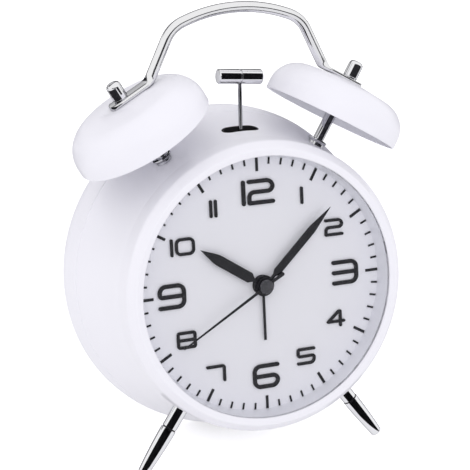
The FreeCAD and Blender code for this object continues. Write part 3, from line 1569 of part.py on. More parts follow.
def batteries():
    """Two cylindrical cells, side by side and opposite ways round."""
    members = []
    depth = panel_rear() - dim.door_thickness - dim.bay_depth + dim.battery_radius
    half, shoulder = dim.battery_length / 2, 0.7
    for side, name in ((LEFT, "low"), (RIGHT, "high")):
        body = doc.addObject("PartDesign::Body", f"cell_{name}")
        drawing = new_sketch(body, "XZ_Plane", f"cell_{name}_profile")
        outline(drawing, [
            (0, -half),
            (dim.battery_radius, -half, shoulder),
            (dim.battery_radius, half, shoulder),
            (dim.battery_radius * 0.4, half),
            (dim.battery_radius * 0.38, half + dim.battery_nub, 0.3),
            (0, half + dim.battery_nub),
        ])
        revolve(body, drawing)
        rise = -dim.bay_centre + side * (dim.battery_radius + dim.fit_gap)
        shift = side * (dim.bay_wide / 2 - dim.contact_thickness - half - dim.battery_nub)
        body.Placement = stance.multiply(Placement(Vector(float(shift), float(depth), float(rise)),
                                                   Rotation(Vector(0, 1, 0), side * 90)))
        members.append(body)
    compound("batteries", members)


def battery_contacts():
    """Plates at both ends of each cell and a bowed spring leaf at each flat end."""
    shapes = []
    thick, wide = float(dim.contact_thickness), float(dim.contact_wide)
    depth = float(panel_rear() - dim.door_thickness - dim.bay_depth + dim.battery_radius)
    end = float(dim.bay_wide) / 2
    for side in (LEFT, RIGHT):
        rise = float(-dim.bay_centre + side * (dim.battery_radius + dim.fit_gap))
        for at in (LEFT, RIGHT):
            start = end - thick if at == RIGHT else -end
            shapes.append(Part.makeBox(thick, wide, wide, Vector(start, depth - wide / 2, rise - wide / 2)))
        gap = 2 * end - 2 * thick - float(dim.battery_length + dim.battery_nub)
        crown, foot = wide * 0.1, wide * 0.4
        bow = [Vector(0, 0, -foot), Vector(gap, 0, -crown), Vector(gap, 0, crown), Vector(0, 0, foot),
               Vector(0, 0, foot - thick * 2), Vector(gap - thick, 0, crown - thick / 2),
               Vector(gap - thick, 0, thick / 2 - crown), Vector(0, 0, thick * 2 - foot), Vector(0, 0, -foot)]
        spring = Part.Face(Part.makePolygon(bow)).extrude(Vector(0, float(dim.spring_wide), 0))
        spring.Placement = Placement(Vector(-side * (end - thick), depth - float(dim.spring_wide) / 2, rise),
                                     Rotation(Vector(0, 1, 0), 0 if side == RIGHT else 180))
        shapes.append(spring)
    group = doc.addObject("Part::Feature", "battery_contacts")
    group.Shape = Part.makeCompound(shapes)
    keep(group, "battery_contacts")


def knob(label, x, z):
    """A fluted knob whose stem enters the movement."""
    body = turned(label, [
        (0, dim.movement_rear - dim.stem_depth),
        (dim.knob_stem, dim.movement_rear - dim.stem_depth),
        (dim.knob_stem, panel_rear() + dim.knob_clearance),
        (dim.knob_radius, panel_rear() + dim.knob_clearance, dim.chamfer),
        (dim.knob_radius - 0.4, panel_rear() + dim.knob_height, 1),
        (dim.knob_radius * 0.62, panel_rear() + dim.knob_height),
        (dim.knob_radius * 0.55, panel_rear() + dim.knob_height - 0.6),
        (0, panel_rear() + dim.knob_height - 0.6),
    ], Placement(Vector(float(x), 0, float(z)), Rotation()))
    count = int(SIZES["knob_flutes"])
    ring = dim.knob_radius + dim.flute_radius * 0.4
    spots = [(ring * math.cos(2 * math.pi * k / count), ring * math.sin(2 * math.pi * k / count))
             for k in range(count)]
    axial_circles(body, label + "_flutes", spots, dim.flute_radius, panel_rear() + dim.knob_height,
                  dim.knob_height, cut=True)


def alarm_switch():
    """A slide button with a ridged top; its flange runs between the panel and the tray."""
    body = new_body("alarm_switch", Placement(Vector(-float(dim.switch_travel) / 2, 0, 0), Rotation()))
    inner = panel_rear() - dim.cover_wall
    floor = inner - dim.tray_depth + dim.tray_wall
    flange = new_sketch(body, "XZ_Plane", "switch_flange_outline", offset=-inner + 0.1)
    half, rise = dim.switch_flange / 2, dim.tray_tall / 2 - dim.tray_wall - dim.door_gap
    outline(flange, [(half, dim.switch_z - rise), (half, dim.switch_z + rise),
                     (-half, dim.switch_z + rise), (-half, dim.switch_z - rise)])
    pad(body, flange, inner - floor - 0.2)
    top = panel_rear() + dim.switch_proud
    button = new_sketch(body, "XZ_Plane", "switch_button", offset=-top)
    half, rise = dim.switch_wide / 2, dim.switch_tall / 2
    outline(button, [(half, dim.switch_z - rise, 0.4), (half, dim.switch_z + rise, 0.4),
                     (-half, dim.switch_z + rise, 0.4), (-half, dim.switch_z - rise, 0.4)])
    pad(body, button, top - inner + 0.6)
    for index in (-1, 0, 1):
        groove = new_sketch(body, "XZ_Plane", f"switch_groove_{index + 1}", offset=-top)
        middle = index * dim.switch_wide / 4
        outline(groove, [(middle + 0.3, dim.switch_z - 4), (middle + 0.3, dim.switch_z + 4),
                         (middle - 0.3, dim.switch_z + 4), (middle - 0.3, dim.switch_z - 4)])
        pocket(body, groove, 0.5, backwards=True)


def switch_tray():
    """The tray under the panel that guides the slide button."""
    body = new_body("switch_tray")
    inner = panel_rear() - dim.cover_wall
    half, rise = dim.tray_wide / 2, dim.tray_tall / 2
    shell = new_sketch(body, "XZ_Plane", "tray_outline", offset=-inner)
    outline(shell, [(half, dim.switch_z - rise, 1.5), (half, dim.switch_z + rise, 1.5),
                    (-half, dim.switch_z + rise, 1.5), (-half, dim.switch_z - rise, 1.5)])
    pad(body, shell, dim.tray_depth)
    inset = dim.tray_wall
    hollow = new_sketch(body, "XZ_Plane", "tray_hollow", offset=-inner)
    outline(hollow, [(half - inset, dim.switch_z - rise + inset), (half - inset, dim.switch_z + rise - inset),
                     (-half + inset, dim.switch_z + rise - inset), (-half + inset, dim.switch_z - rise + inset)])
    pocket(body, hollow, dim.tray_depth - dim.tray_wall, backwards=True)


# Build order

def main():
    case_drum()
    front_bezel()
    lens()
    dial_surround()
    dial_plate()
    movement_chassis()
    minute_track()
    hour_numerals()
    hands()
    arbors()
    movement_housing()
    screw_set("movement_screws", ear_spots(), dim.dial_thickness + dim.chassis_thickness + dim.ear_thickness,
              dim.ear_thickness + dim.chassis_thickness * 0.9)
    envelope = drum_envelope()
    for side, name in ((LEFT, "left"), (RIGHT, "right")):
        bell(f"bell_{name}", side)
        bell_post(f"bell_post_{name}", side)
    post_collars(envelope)
    post_nuts()
    cap_nuts()
    handle()
    slot_liner(envelope)
    hammer_bracket()
    hammer_yoke()
    hammer_parts()
    electromagnet()
    screw_set("bracket_screws", bracket_screw_spots(), dim.ledge_rear + dim.sheet, dim.sheet + 3)
    legs(envelope)
    rear_cover()
    battery_door()
    batteries()
    battery_contacts()
    for label, (x, z) in zip(("time_knob", "alarm_knob"), knob_spots()):
        knob(label, x, z)
    alarm_switch()
    switch_tray()
    screw_set("cover_screws", screw_spots(), panel_rear(), dim.cover_wall + dim.screw_bite)


def export():
    doc.recompute()
    faults = [item.Name for item in doc.Objects if "Invalid" in item.State or "Error" in item.State]
    faults += [piece.Label for piece in pieces if piece.Shape.isNull() or not piece.Shape.isValid()]
    if faults:
        raise RuntimeError("failed objects: " + ", ".join(faults))
    os.makedirs("parts", exist_ok=True)
    for piece in pieces:
        piece.Shape.exportStep(f"parts/{piece.Label}.step")
        box = piece.Shape.BoundBox
        print(f"{piece.Label}: {len(piece.Shape.Solids)} solids, volume {piece.Shape.Volume:.1f}, "
              f"Z {box.ZMin:.1f} to {box.ZMax:.1f}")


main()
export()
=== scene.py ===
import math

import bmesh
import bpy
from mathutils import Matrix, Vector


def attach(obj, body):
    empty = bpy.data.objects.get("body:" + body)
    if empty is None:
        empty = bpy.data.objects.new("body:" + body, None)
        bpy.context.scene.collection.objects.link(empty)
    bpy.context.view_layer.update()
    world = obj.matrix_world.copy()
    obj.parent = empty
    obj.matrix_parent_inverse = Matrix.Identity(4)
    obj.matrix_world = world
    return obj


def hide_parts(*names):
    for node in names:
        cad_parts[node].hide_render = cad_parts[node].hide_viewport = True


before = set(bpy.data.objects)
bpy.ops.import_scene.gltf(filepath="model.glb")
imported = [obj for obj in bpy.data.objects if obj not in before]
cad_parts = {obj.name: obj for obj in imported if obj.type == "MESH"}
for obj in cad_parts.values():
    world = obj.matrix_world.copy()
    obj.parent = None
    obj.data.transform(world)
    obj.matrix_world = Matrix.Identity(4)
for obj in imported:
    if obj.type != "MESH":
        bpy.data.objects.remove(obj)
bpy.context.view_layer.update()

# Sizes, in millimetres in the clock's own frame: origin at the dial's centre, X to the right as one
# reads the dial, Y from the dial to the rear, Z towards 12 o'clock

MM = 0.001
LEAN = math.radians(7)
ORIGIN = Vector((0, -21.02612775, 68.44881571)) * MM
STANCE = Matrix.Translation(ORIGIN) @ Matrix.Rotation(-LEAN, 4, "X")
AXIAL = Matrix.Rotation(math.radians(-90), 4, "X")
SIDES = {"left": -1, "right": 1}

LIP_RADIUS = 49.3
LIP_FRONT = -7.9
RIDGE_RADIUS = 51.9
RIDGE_FRONT = -8.6
RIM_RADIUS = 54.8
RIM_EDGE = -5.2
RIM_BAND = 2.6
BAND_RADIUS = 55.4
SPIGOT_RADIUS = 53.5
SPIGOT_END = 4.1
BEZEL_BORE = 52.0
PANE_RADIUS = 51.9
LENS_FRONT = -7.4
LENS_REAR = -6.2
DIAL_VIEW = 48.0
DIAL_HOLE = 3.8
DIAL_THICK = 1.2
RING_OVERLAP = 0.1
CAP_RADIUS = 2.65
CAP_FRONT = -5.6
CAP_SEAT = -4.3

BELL_ANGLE = 32.5
BELL_LEAN = 30.0
BELL_PITCH = 3.5
BELL_PLANE = 14.5
BELL_TOP = 84.0
BELL_DEPTH = 15.4
BELL_RADIUS = 27.1
BELL_WALL = 0.9
BELL_SHOULDER = 11.0
BELL_CROWN = 2.3
BELL_BOSS = 8.5
BELL_BORE = 1.6
BELL_BOSS_TURN = 3
BELL_LIP_TURN = 0.4 * BELL_WALL
BELL_STEPS = 20
POST_RADIUS = 2.1
POST_CHAMFER = 0.4
POST_INNER = 51.0
COLLAR_RADIUS = 3.8
COLLAR_FOOT = 55.2
COLLAR_TOP = 59.2
COLLAR_NECK = 3.0
NUT_RADIUS = 2.8
NUT_HEIGHT = 6.9
NUT_DOME = 1.7

TAB_THICK = 1.7
TAB_WIDE = 7.0
TAB_OVERHANG = 5.4
TAB_STEPS = 5
TAB_END_STEPS = 14
HANDLE_RADIUS = 2.05
HANDLE_TOP = 102.5
HANDLE_ARCH = 58.0
SHOULDER_X = 25.6
SHOULDER_SHARE = 0.28
SHOULDER_TURN = 12.0
BEND_X = 35.0
BEND_TURN = 7.0

PIVOT_HEIGHT = 47.0
HAMMER_LEAN = 1.5
HEAD_TILT = 3.5
HEAD_HEIGHT = 76.6
HEAD_LENGTH = 17.6
HEAD_RADIUS = 2.8
HEAD_GROOVE = 0.3
HEAD_EDGE = 0.6
ROD_RADIUS = 0.75
ROD_FOOT = 3.0

LEG_ANGLE = 36.0
LEG_PLANE = 6.6
LEG_ROOT = 55.2
LEG_GROOVE = 64.0
LEG_TIP = 82.993
LEG_TOP_RADIUS = 2.85
LEG_BELLY_RADIUS = 3.0
LEG_TIP_RADIUS = 2.15
LEG_TIP_TURN = 0.7
LEG_TAPER = 1.8
GROOVE_WIDE = 0.5
GROOVE_DEEP = 0.2

CELL_RADIUS = 7.1
CELL_LENGTH = 49.2
CELL_DEPTH = 37.1
CELL_ROW = -23.0
CELL_SPACING = 7.2
CELL_STAGGER = 0.3
CELL_BAND_START = 14.0
CELL_BUTTON = 1.2

CASE = "clock_case"
PICTURE_WIDTH = 470
FOCAL_PIXELS = 1710.098
SENSOR_WIDTH = 36
VIEWER = Vector((-236.939, -575.165, 141.694)) * MM


def around_dial(angle, depth=0.0):
    """The frame whose Z axis points out from the dial's axis, clockwise from 12 o'clock."""
    return Matrix.Translation((0, depth * MM, 0)) @ Matrix.Rotation(math.radians(angle), 4, "Y")


def bell_place(side):
    """The frame on top of a bell, which leans inwards and a little forward on its post."""
    top = around_dial(side * BELL_ANGLE, BELL_PLANE) @ Vector((0, 0, BELL_TOP * MM))
    pitch = Matrix.Rotation(math.radians(BELL_PITCH), 4, "X")
    return Matrix.Translation(top) @ pitch @ Matrix.Rotation(math.radians(side * BELL_LEAN), 4, "Y")


def crown_place():
    """The upright plane of the handle, which passes through the tops of both posts."""
    top = around_dial(BELL_ANGLE, BELL_PLANE) @ Vector((0, 0, BELL_TOP * MM))
    pitch = Matrix.Rotation(math.radians(BELL_PITCH), 4, "X")
    return Matrix.Translation((0, top.y, top.z)) @ pitch @ Matrix.Translation((0, 0, -top.z))


def hammer_place():
    """The hammer's frame on its pivot, whose Z axis runs up the rod."""
    return (Matrix.Translation((0, BELL_PLANE * MM, PIVOT_HEIGHT * MM))
            @ Matrix.Rotation(math.radians(HAMMER_LEAN), 4, "Y"))


# Shader graphs written as expressions

class Wire:
    """An output socket; arithmetic on it adds Math nodes."""

    def __init__(self, finish, socket):
        self.finish = finish
        self.socket = socket

    def math(self, operation, *others, first=None):
        values = [self if first is None else first, *others]
        if first is not None:
            values.append(self)
        return self.finish.node("ShaderNodeMath", {"operation": operation}, dict(enumerate(values)))[0]

    def __add__(self, other):
        return self.math("ADD", other)

    def __radd__(self, other):
        return self.math("ADD", other)

    def __sub__(self, other):
        return self.math("SUBTRACT", other)

    def __rsub__(self, other):
        return self.math("SUBTRACT", first=other)

    def __mul__(self, other):
        return self.math("MULTIPLY", other)

    def __rmul__(self, other):
        return self.math("MULTIPLY", other)

    def __pow__(self, other):
        return self.math("POWER", other)

    def between(self, low, high):
        """0 below low, 1 above high, and a smooth step in the middle."""
        made = self.finish.node("ShaderNodeMapRange", {"interpolation_type": "SMOOTHSTEP"},
                                {"Value": self, "From Min": low, "From Max": high})
        return made["Result"]

    def inside(self, low, high, soft):
        """1 between low and high, with soft edges."""
        return self.between(low - soft, low + soft) * (1 - self.between(high - soft, high + soft))


class Made:
    """A node whose outputs are read by name or number."""

    def __init__(self, finish, node):
        self.finish = finish
        self.node = node

    def __getitem__(self, key):
        return Wire(self.finish, self.node.outputs[key])


class Finish:
    """One material: a Principled shader with constants on its own sockets and wires into it."""

    def __init__(self, name, colour, **constants):
        self.material = bpy.data.materials.new(name)
        self.material.use_nodes = True
        self.tree = self.material.node_tree
        self.tree.nodes.clear()
        self.shader = self.tree.nodes.new("ShaderNodeBsdfPrincipled")
        self.output = self.tree.nodes.new("ShaderNodeOutputMaterial")
        self.tree.links.new(self.shader.outputs["BSDF"], self.output.inputs["Surface"])
        self.shader.inputs["Base Color"].default_value = (*colour, 1)
        for word, value in constants.items():
            self.shader.inputs[word.replace("_", " ")].default_value = value
        self.material.diffuse_color = (*colour, 1)

    def node(self, kind, settings=None, sockets=None):
        """A node with its settings first, and then the values or wires of its sockets."""
        made = self.tree.nodes.new(kind)
        for word, value in (settings or {}).items():
            setattr(made, word, value)
        for key, value in (sockets or {}).items():
            self.feed(made.inputs[key], value)
        return Made(self, made)

    def feed(self, socket, value):
        if isinstance(value, Wire):
            self.tree.links.new(value.socket, socket)
        elif isinstance(value, (tuple, list)) and socket.type == "RGBA" and len(value) == 3:
            socket.default_value = (*value, 1)
        else:
            socket.default_value = value

    def set(self, **wires):
        for word, value in wires.items():
            self.feed(self.shader.inputs[word.replace("_", " ")], value)
        return self

    def place(self):
        return self.node("ShaderNodeTexCoord")["Object"]

    def axes(self):
        made = self.node("ShaderNodeSeparateXYZ", None, {0: self.place()})
        return made["X"], made["Y"], made["Z"]

    def noise(self, scale, detail=2.0, roughness=0.5, vector=None):
        made = self.node("ShaderNodeTexNoise", None, {
            "Vector": vector or self.place(), "Scale": scale, "Detail": detail, "Roughness": roughness})
        return made["Fac"]

    def blend(self, factor, low, high):
        made = self.node("ShaderNodeMix", {"data_type": "RGBA"}, {0: factor, 6: low, 7: high})
        return made[2]

    def bump(self, height, depth, strength=0.5):
        made = self.node("ShaderNodeBump", None, {
            "Height": height, "Distance": depth, "Strength": strength})
        self.set(Normal=made["Normal"])
        return self

    def scaled(self, x, y, z):
        return self.node("ShaderNodeMapping", None, {"Vector": self.place(), "Scale": (x, y, z)})["Vector"]


# Finishes

def moulded_white(name, colour=(0.945, 0.938, 0.985), roughness=0.4):
    """White moulded plastic: a faint flow of tone, very fine orange peel and handling haze."""
    made = Finish(name, colour, Coat_Weight=0.1, Coat_Roughness=0.25, Specular_IOR_Level=0.35)
    cloud = made.noise(28, 3, 0.6)
    shade = made.blend(cloud.between(0.3, 0.75), tuple(c * 0.985 for c in colour), colour)
    haze = made.noise(150, 4, 0.65)
    made.set(Base_Color=shade, Roughness=haze * 0.12 + (roughness - 0.06))
    return made.bump(made.noise(1900, 1.5), 0.00002, 0.35)


def enamel_white(name):
    """Thick glossy enamel on pressed steel."""
    white = (0.945, 0.938, 0.988)
    made = Finish(name, white, Coat_Weight=0.15, Coat_Roughness=0.3, Specular_IOR_Level=0.35)
    cloud = made.noise(35, 2, 0.5)
    shade = made.blend(cloud.between(0.35, 0.7), tuple(c * 0.985 for c in white), white)
    made.set(Base_Color=shade, Roughness=made.noise(90, 3) * 0.08 + 0.38)
    return made.bump(made.noise(420, 2), 0.00003, 0.3)


def enamel_inside_painted_shade(name):
    """A greyer copy of the bell enamel for the inside of a dome; its darker tone is painted shade."""
    made = Finish(name, (0.88, 0.88, 0.92), Specular_IOR_Level=0.45)
    cloud = made.noise(60, 4, 0.6)
    made.set(Base_Color=made.blend(cloud.between(0.3, 0.7), (0.86, 0.86, 0.90), (0.91, 0.91, 0.95)),
             Roughness=cloud * 0.2 + 0.35)
    return made.bump(made.noise(900, 2), 0.00003, 0.4)


def dial_paper(name):
    """Matt dial print ground: pale lilac white with a very fine tooth, and painted shade that darkens it
    slightly towards the rim.
    """
    made = Finish(name, (0.90, 0.90, 0.985), Specular_IOR_Level=0.25)
    x, depth, rise = made.axes()
    up = rise * math.cos(LEAN) + depth * math.sin(LEAN)
    # Painted shade: the colour darkens from 20 mm out to the rim, where the bezel's shade falls.
    edge = ((x * x + up * up) ** 0.5).between(0.020, 0.052)
    tooth = made.noise(1300, 2, 0.6)
    base = made.blend(edge, (0.95, 0.95, 0.995), (0.93, 0.93, 0.985))
    made.set(Base_Color=made.blend(tooth * 0.25, base, (0.96, 0.96, 0.995)), Roughness=tooth * 0.15 + 0.55)
    return made.bump(tooth, 0.00001, 0.25)


def satin_ring(name):
    """The conical ring round the dial."""
    made = Finish(name, (0.92, 0.925, 0.985), Specular_IOR_Level=0.35)
    cloud = made.noise(70, 3)
    made.set(Base_Color=made.blend(cloud, (0.90, 0.905, 0.97), (0.93, 0.935, 0.985)),
             Roughness=made.noise(400, 2) * 0.1 + 0.33)
    return made.bump(made.noise(1600, 1), 0.00001, 0.25)


def clear_lens(name):
    """A thin clear pane: it shows what is behind it and keeps a Fresnel reflection."""
    made = Finish(name, (0.02, 0.02, 0.024), Specular_IOR_Level=0.5, IOR=1.49)
    rim = made.node("ShaderNodeFresnel", None, {"IOR": 1.3})["Fac"]
    smear = made.noise(45, 4, 0.6)
    made.set(Alpha=rim * 0.3 + 0.015, Roughness=smear * 0.03 + 0.012)
    return made


def printed_black(name, roughness=0.5, colour=(0.012, 0.012, 0.015)):
    """Black moulded or lacquered pieces: slight tone change and a fine grain."""
    made = Finish(name, colour, Specular_IOR_Level=0.35)
    cloud = made.noise(260, 3, 0.6)
    lighter = tuple(c * 1.8 + 0.003 for c in colour)
    made.set(Base_Color=made.blend(cloud, colour, lighter), Roughness=cloud * 0.18 + (roughness - 0.09))
    return made.bump(made.noise(2400, 1), 0.00001, 0.3)


def polished_chrome(name, colour=(0.86, 0.86, 0.88), roughness=0.05):
    """Plated steel: a mirror with faint polishing lines and a little haze."""
    made = Finish(name, colour, Metallic=1.0, Specular_Tint=(0.30, 0.30, 0.32, 1))
    lines = made.noise(900, 2, 0.5)
    haze = made.noise(60, 4, 0.6)
    made.set(Base_Color=made.blend(haze.between(0.4, 0.8), colour, tuple(c * 0.95 for c in colour)),
             Roughness=lines * 0.03 + haze * 0.03 + (roughness - 0.03))
    return made.bump(lines, 0.000003, 0.15)


def raw_steel(name, colour=(0.56, 0.56, 0.58), roughness=0.34):
    """Bare steel with drawn lines and a few duller spots."""
    made = Finish(name, colour, Metallic=1.0)
    lines = made.noise(500, 4, 0.65, made.scaled(1, 0.08, 1))
    spots = made.noise(70, 5, 0.7)
    made.set(Base_Color=made.blend(spots, tuple(c * 0.82 for c in colour), colour),
             Roughness=lines * 0.2 + (roughness - 0.1))
    return made.bump(lines, 0.00001, 0.35)


def wound_wire(name):
    """Enamelled copper wire in close turns along X."""
    made = Finish(name, (0.45, 0.17, 0.06), Metallic=0.85, Coat_Weight=0.4)
    turns = made.node("ShaderNodeTexWave", {"bands_direction": "X"}, {
        "Vector": made.place(), "Scale": 900.0, "Distortion": 0.4})["Fac"]
    made.set(Base_Color=made.blend(turns, (0.22, 0.07, 0.025), (0.55, 0.22, 0.08)),
             Roughness=turns * 0.15 + 0.28)
    return made.bump(turns, 0.00006, 0.8)


def cell_sleeve(name, colour):
    """Plain printed film round a dry cell."""
    made = Finish(name, colour, Coat_Weight=0.5, Coat_Roughness=0.1)
    grain = made.noise(220, 3)
    made.set(Base_Color=made.blend(grain, colour, tuple(c * 1.3 for c in colour)),
             Roughness=grain * 0.15 + 0.25)
    return made.bump(grain, 0.00001, 0.3)


WHITE = moulded_white("case_white")
BELL_OUT = enamel_white("bell_enamel")
# The inside of each dome gets a greyer enamel: painted shade.
BELL_INSIDE_SHADED = enamel_inside_painted_shade("bell_inside_painted_shade")
DIAL = dial_paper("dial_face")
SURROUND = satin_ring("surround_white")
LENS = clear_lens("lens_clear")
MARKS = printed_black("marking_black", 0.42)
HANDS = printed_black("hand_black", 0.38)
CAP = printed_black("cap_grey", 0.28, (0.05, 0.05, 0.056))
# The near-black liner in the hammer slot is painted shade: it stands in for the dark inside of the case.
SLOT_SHADE_BLACK = printed_black("liner_black", 0.6, (0.006, 0.006, 0.007))
CHASSIS = moulded_white("chassis_grey", (0.48, 0.48, 0.5), 0.55)
MOVEMENT = printed_black("movement_black", 0.55, (0.03, 0.03, 0.034))
# The bell posts and collars use a darker copy of the chrome: painted shade.
POST = polished_chrome("post_chrome", (0.66, 0.66, 0.68))
NUT = polished_chrome("nut_chrome", (0.84, 0.84, 0.86))
HANDLE = polished_chrome("handle_chrome", (0.84, 0.84, 0.85), 0.10)
HAMMER = polished_chrome("hammer_chrome", (0.86, 0.86, 0.88))
# The hammer rod uses a darker copy of the chrome: painted shade.
ROD = polished_chrome("rod_chrome_painted_shade", (0.50, 0.50, 0.51), 0.12)
LEG = polished_chrome("leg_chrome", (0.88, 0.88, 0.90))
RING = printed_black("leg_ring", 0.4, (0.010, 0.010, 0.012))
STEEL = raw_steel("arbor_steel")
SCREW = raw_steel("screw_steel", (0.62, 0.62, 0.65), 0.3)
CORE = raw_steel("core_iron", (0.25, 0.25, 0.27), 0.45)
COIL = wound_wire("coil_copper")
CONTROL = moulded_white("control_grey", (0.60, 0.60, 0.63), 0.4)
CELL = cell_sleeve("battery_wrap", (0.05, 0.055, 0.07))
CELL_BAND = cell_sleeve("battery_band", (0.42, 0.24, 0.10))

NODE_FINISH = {
    "case_drum": WHITE, "front_bezel": WHITE, "rear_cover": WHITE, "battery_door": WHITE,
    "dial_surround": SURROUND, "lens": LENS, "dial_plate": DIAL,
    "minute_track": MARKS, "hour_numerals": MARKS,
    "movement_chassis": CHASSIS, "switch_tray": CHASSIS, "movement_housing": MOVEMENT,
    "hour_hand": HANDS, "minute_hand": HANDS, "second_hand": HANDS, "alarm_hand": HANDS,
    "hour_tube": HANDS, "alarm_tube": HANDS, "minute_tube": HANDS,
    "second_arbor": STEEL, "movement_screws": STEEL, "bracket_screws": STEEL, "leg_studs": STEEL,
    "post_nuts": STEEL, "battery_contacts": STEEL, "hammer_pivot_pin": STEEL, "hammer_bracket": STEEL,
    "centre_cap": CAP, "bell_left": BELL_OUT, "bell_right": BELL_OUT,
    "bell_post_left": POST, "bell_post_right": POST, "post_collar_left": POST, "post_collar_right": POST,
    "cap_nut_left": NUT, "cap_nut_right": NUT, "handle": HANDLE,
    "hammer_rod": HAMMER, "hammer_head": HAMMER, "hammer_yoke": HAMMER,
    "leg_left": LEG, "leg_right": LEG, "slot_liner": SLOT_SHADE_BLACK, "magnet_core": CORE, "magnet_coil": COIL,
    "time_knob": CONTROL, "alarm_knob": CONTROL, "alarm_switch": CONTROL,
    "batteries": CELL, "cover_screws": SCREW,
}
for node, finish in NODE_FINISH.items():
    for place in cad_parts[node].material_slots:
        place.material = finish.material


# Shape helpers

def rounded(corners, steps=8):
    """The points of a profile; a corner's third entry is its rounding radius."""
    spots = [Vector(corner[:2]) for corner in corners]
    points = []
    for i, corner in enumerate(corners):
        if len(corner) < 3:
            points.append(spots[i])
            continue
        before = (spots[i - 1] - spots[i]).normalized()
        after = (spots[(i + 1) % len(spots)] - spots[i]).normalized()
        half = before.angle(after) / 2
        radius = corner[2]
        middle = spots[i] + (before + after).normalized() * (radius / math.sin(half))
        start = spots[i] + before * (radius / math.tan(half)) - middle
        sweep = start.angle_signed(spots[i] + after * (radius / math.tan(half)) - middle)
        for k in range(steps + 1):
            points.append(middle + Matrix.Rotation(-sweep * k / steps, 2) @ start)
    return points


def lathe(points, segments=128, closed=True, second=None):
    """Turns a profile of (radius, height) about Z.

    The stretches that second(number, low, high) picks get the piece's second finish.
    """
    mesh = bmesh.new()
    rings = []
    for point in points:
        radius, height = point[0] * MM, point[1] * MM
        if abs(radius) < 1e-7:
            rings.append([mesh.verts.new((0, 0, height))])
            continue
        turn = [2 * math.pi * k / segments for k in range(segments)]
        rings.append([mesh.verts.new((radius * math.cos(t), radius * math.sin(t), height)) for t in turn])
    pairs = list(zip(rings, rings[1:], points, points[1:]))
    if closed:
        pairs.append((rings[-1], rings[0], points[-1], points[0]))
    for number, (low, high, from_point, to_point) in enumerate(pairs):
        part = 1 if second and second(number, from_point, to_point) else 0
        for k in range(segments):
            following = (k + 1) % segments
            corners = [low[k % len(low)], low[following % len(low)],
                       high[following % len(high)], high[k % len(high)]]
            face = list(dict.fromkeys(corners))
            if len(face) > 2:
                mesh.faces.new(face).material_index = part
    bmesh.ops.recalc_face_normals(mesh, faces=mesh.faces)
    return mesh


def finished(mesh, name, crease=32):
    """The mesh as smooth data that keeps edges sharper than crease."""
    data = bpy.data.meshes.new(name)
    mesh.to_mesh(data)
    mesh.free()
    data.polygons.foreach_set("use_smooth", [True] * len(data.polygons))
    data.set_sharp_from_angle(angle=math.radians(crease))
    return data


def add(name, mesh, body, finish, place=Matrix(), stands_for=(), crease=32, more=()):
    """Puts a piece in its place, gives it its finish and lets it ride on a body.

    The mesh takes the turn and the object only the place, so that the piece's box stays tight.
    """
    stands = STANCE @ place
    bmesh.ops.transform(mesh, matrix=stands.to_3x3().to_4x4(), verts=mesh.verts)
    data = finished(mesh, name, crease)
    piece = bpy.data.objects.new(name, data)
    bpy.context.scene.collection.objects.link(piece)
    piece.matrix_world = Matrix.Translation(stands.translation)
    for each in (finish, *more):
        data.materials.append(each.material)
    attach(piece, body)
    if stands_for:
        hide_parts(*stands_for)
    return piece


# Front rim, lens and dial

def front():
    add("front_rim", lathe(rounded([
        (LIP_RADIUS, LIP_FRONT, 0.5),
        (RIDGE_RADIUS, RIDGE_FRONT, 0.8),
        (RIM_RADIUS, RIM_EDGE, 2.5),
        (BAND_RADIUS, RIM_BAND, 0.5),
        (SPIGOT_RADIUS, RIM_BAND),
        (SPIGOT_RADIUS, SPIGOT_END),
        (BEZEL_BORE, SPIGOT_END),
        (BEZEL_BORE, LENS_FRONT),
        (LIP_RADIUS, LENS_FRONT),
    ], 12), 384), CASE, WHITE, AXIAL, ["front_bezel"], 38)
    add("lens_pane", lathe([
        (0, LENS_FRONT),
        (PANE_RADIUS, LENS_FRONT),
        (PANE_RADIUS, LENS_REAR),
        (0, LENS_REAR),
    ], 256, False), CASE, LENS, AXIAL, ["lens"])
    add("dial_ring", lathe([
        (LIP_RADIUS - RING_OVERLAP, LENS_REAR),
        (PANE_RADIUS, LENS_REAR),
        (PANE_RADIUS, 0),
        (DIAL_VIEW, 0),
    ], 256), CASE, SURROUND, AXIAL, ["dial_surround"])
    add("dial_disc", lathe([
        (DIAL_HOLE, 0),
        (PANE_RADIUS, 0),
        (PANE_RADIUS, DIAL_THICK),
        (DIAL_HOLE, DIAL_THICK),
    ], 256), CASE, DIAL, AXIAL, ["dial_plate"])
    add("hub_cap", lathe(rounded([
        (0, CAP_FRONT),
        (CAP_RADIUS, CAP_FRONT, 0.8),
        (CAP_RADIUS, CAP_SEAT),
        (0, CAP_SEAT),
    ]), 96, False), "second_hand", CAP, AXIAL, ["centre_cap"])


# Bells, posts, collars and nuts

def bell_profile():
    """The section of a dome from its bore over the shoulder and the rim to the inside."""
    edge, wall = BELL_RADIUS, BELL_WALL
    return rounded([
        (BELL_BORE, 0),
        (BELL_BOSS, 0, BELL_BOSS_TURN),
        (edge, -BELL_CROWN, BELL_SHOULDER),
        (edge, -BELL_DEPTH, BELL_LIP_TURN),
        (edge - wall, -BELL_DEPTH, BELL_LIP_TURN),
        (edge - wall, -BELL_CROWN - wall, BELL_SHOULDER - wall),
        (BELL_BOSS, -wall, BELL_BOSS_TURN),
        (BELL_BORE, -wall),
    ], BELL_STEPS)


def in_dome(number, low, high):
    """True for the inner face of the bell, which follows the rim's second rounded corner."""
    return number >= 4 * (BELL_STEPS + 1) and low[1] < -BELL_WALL / 2


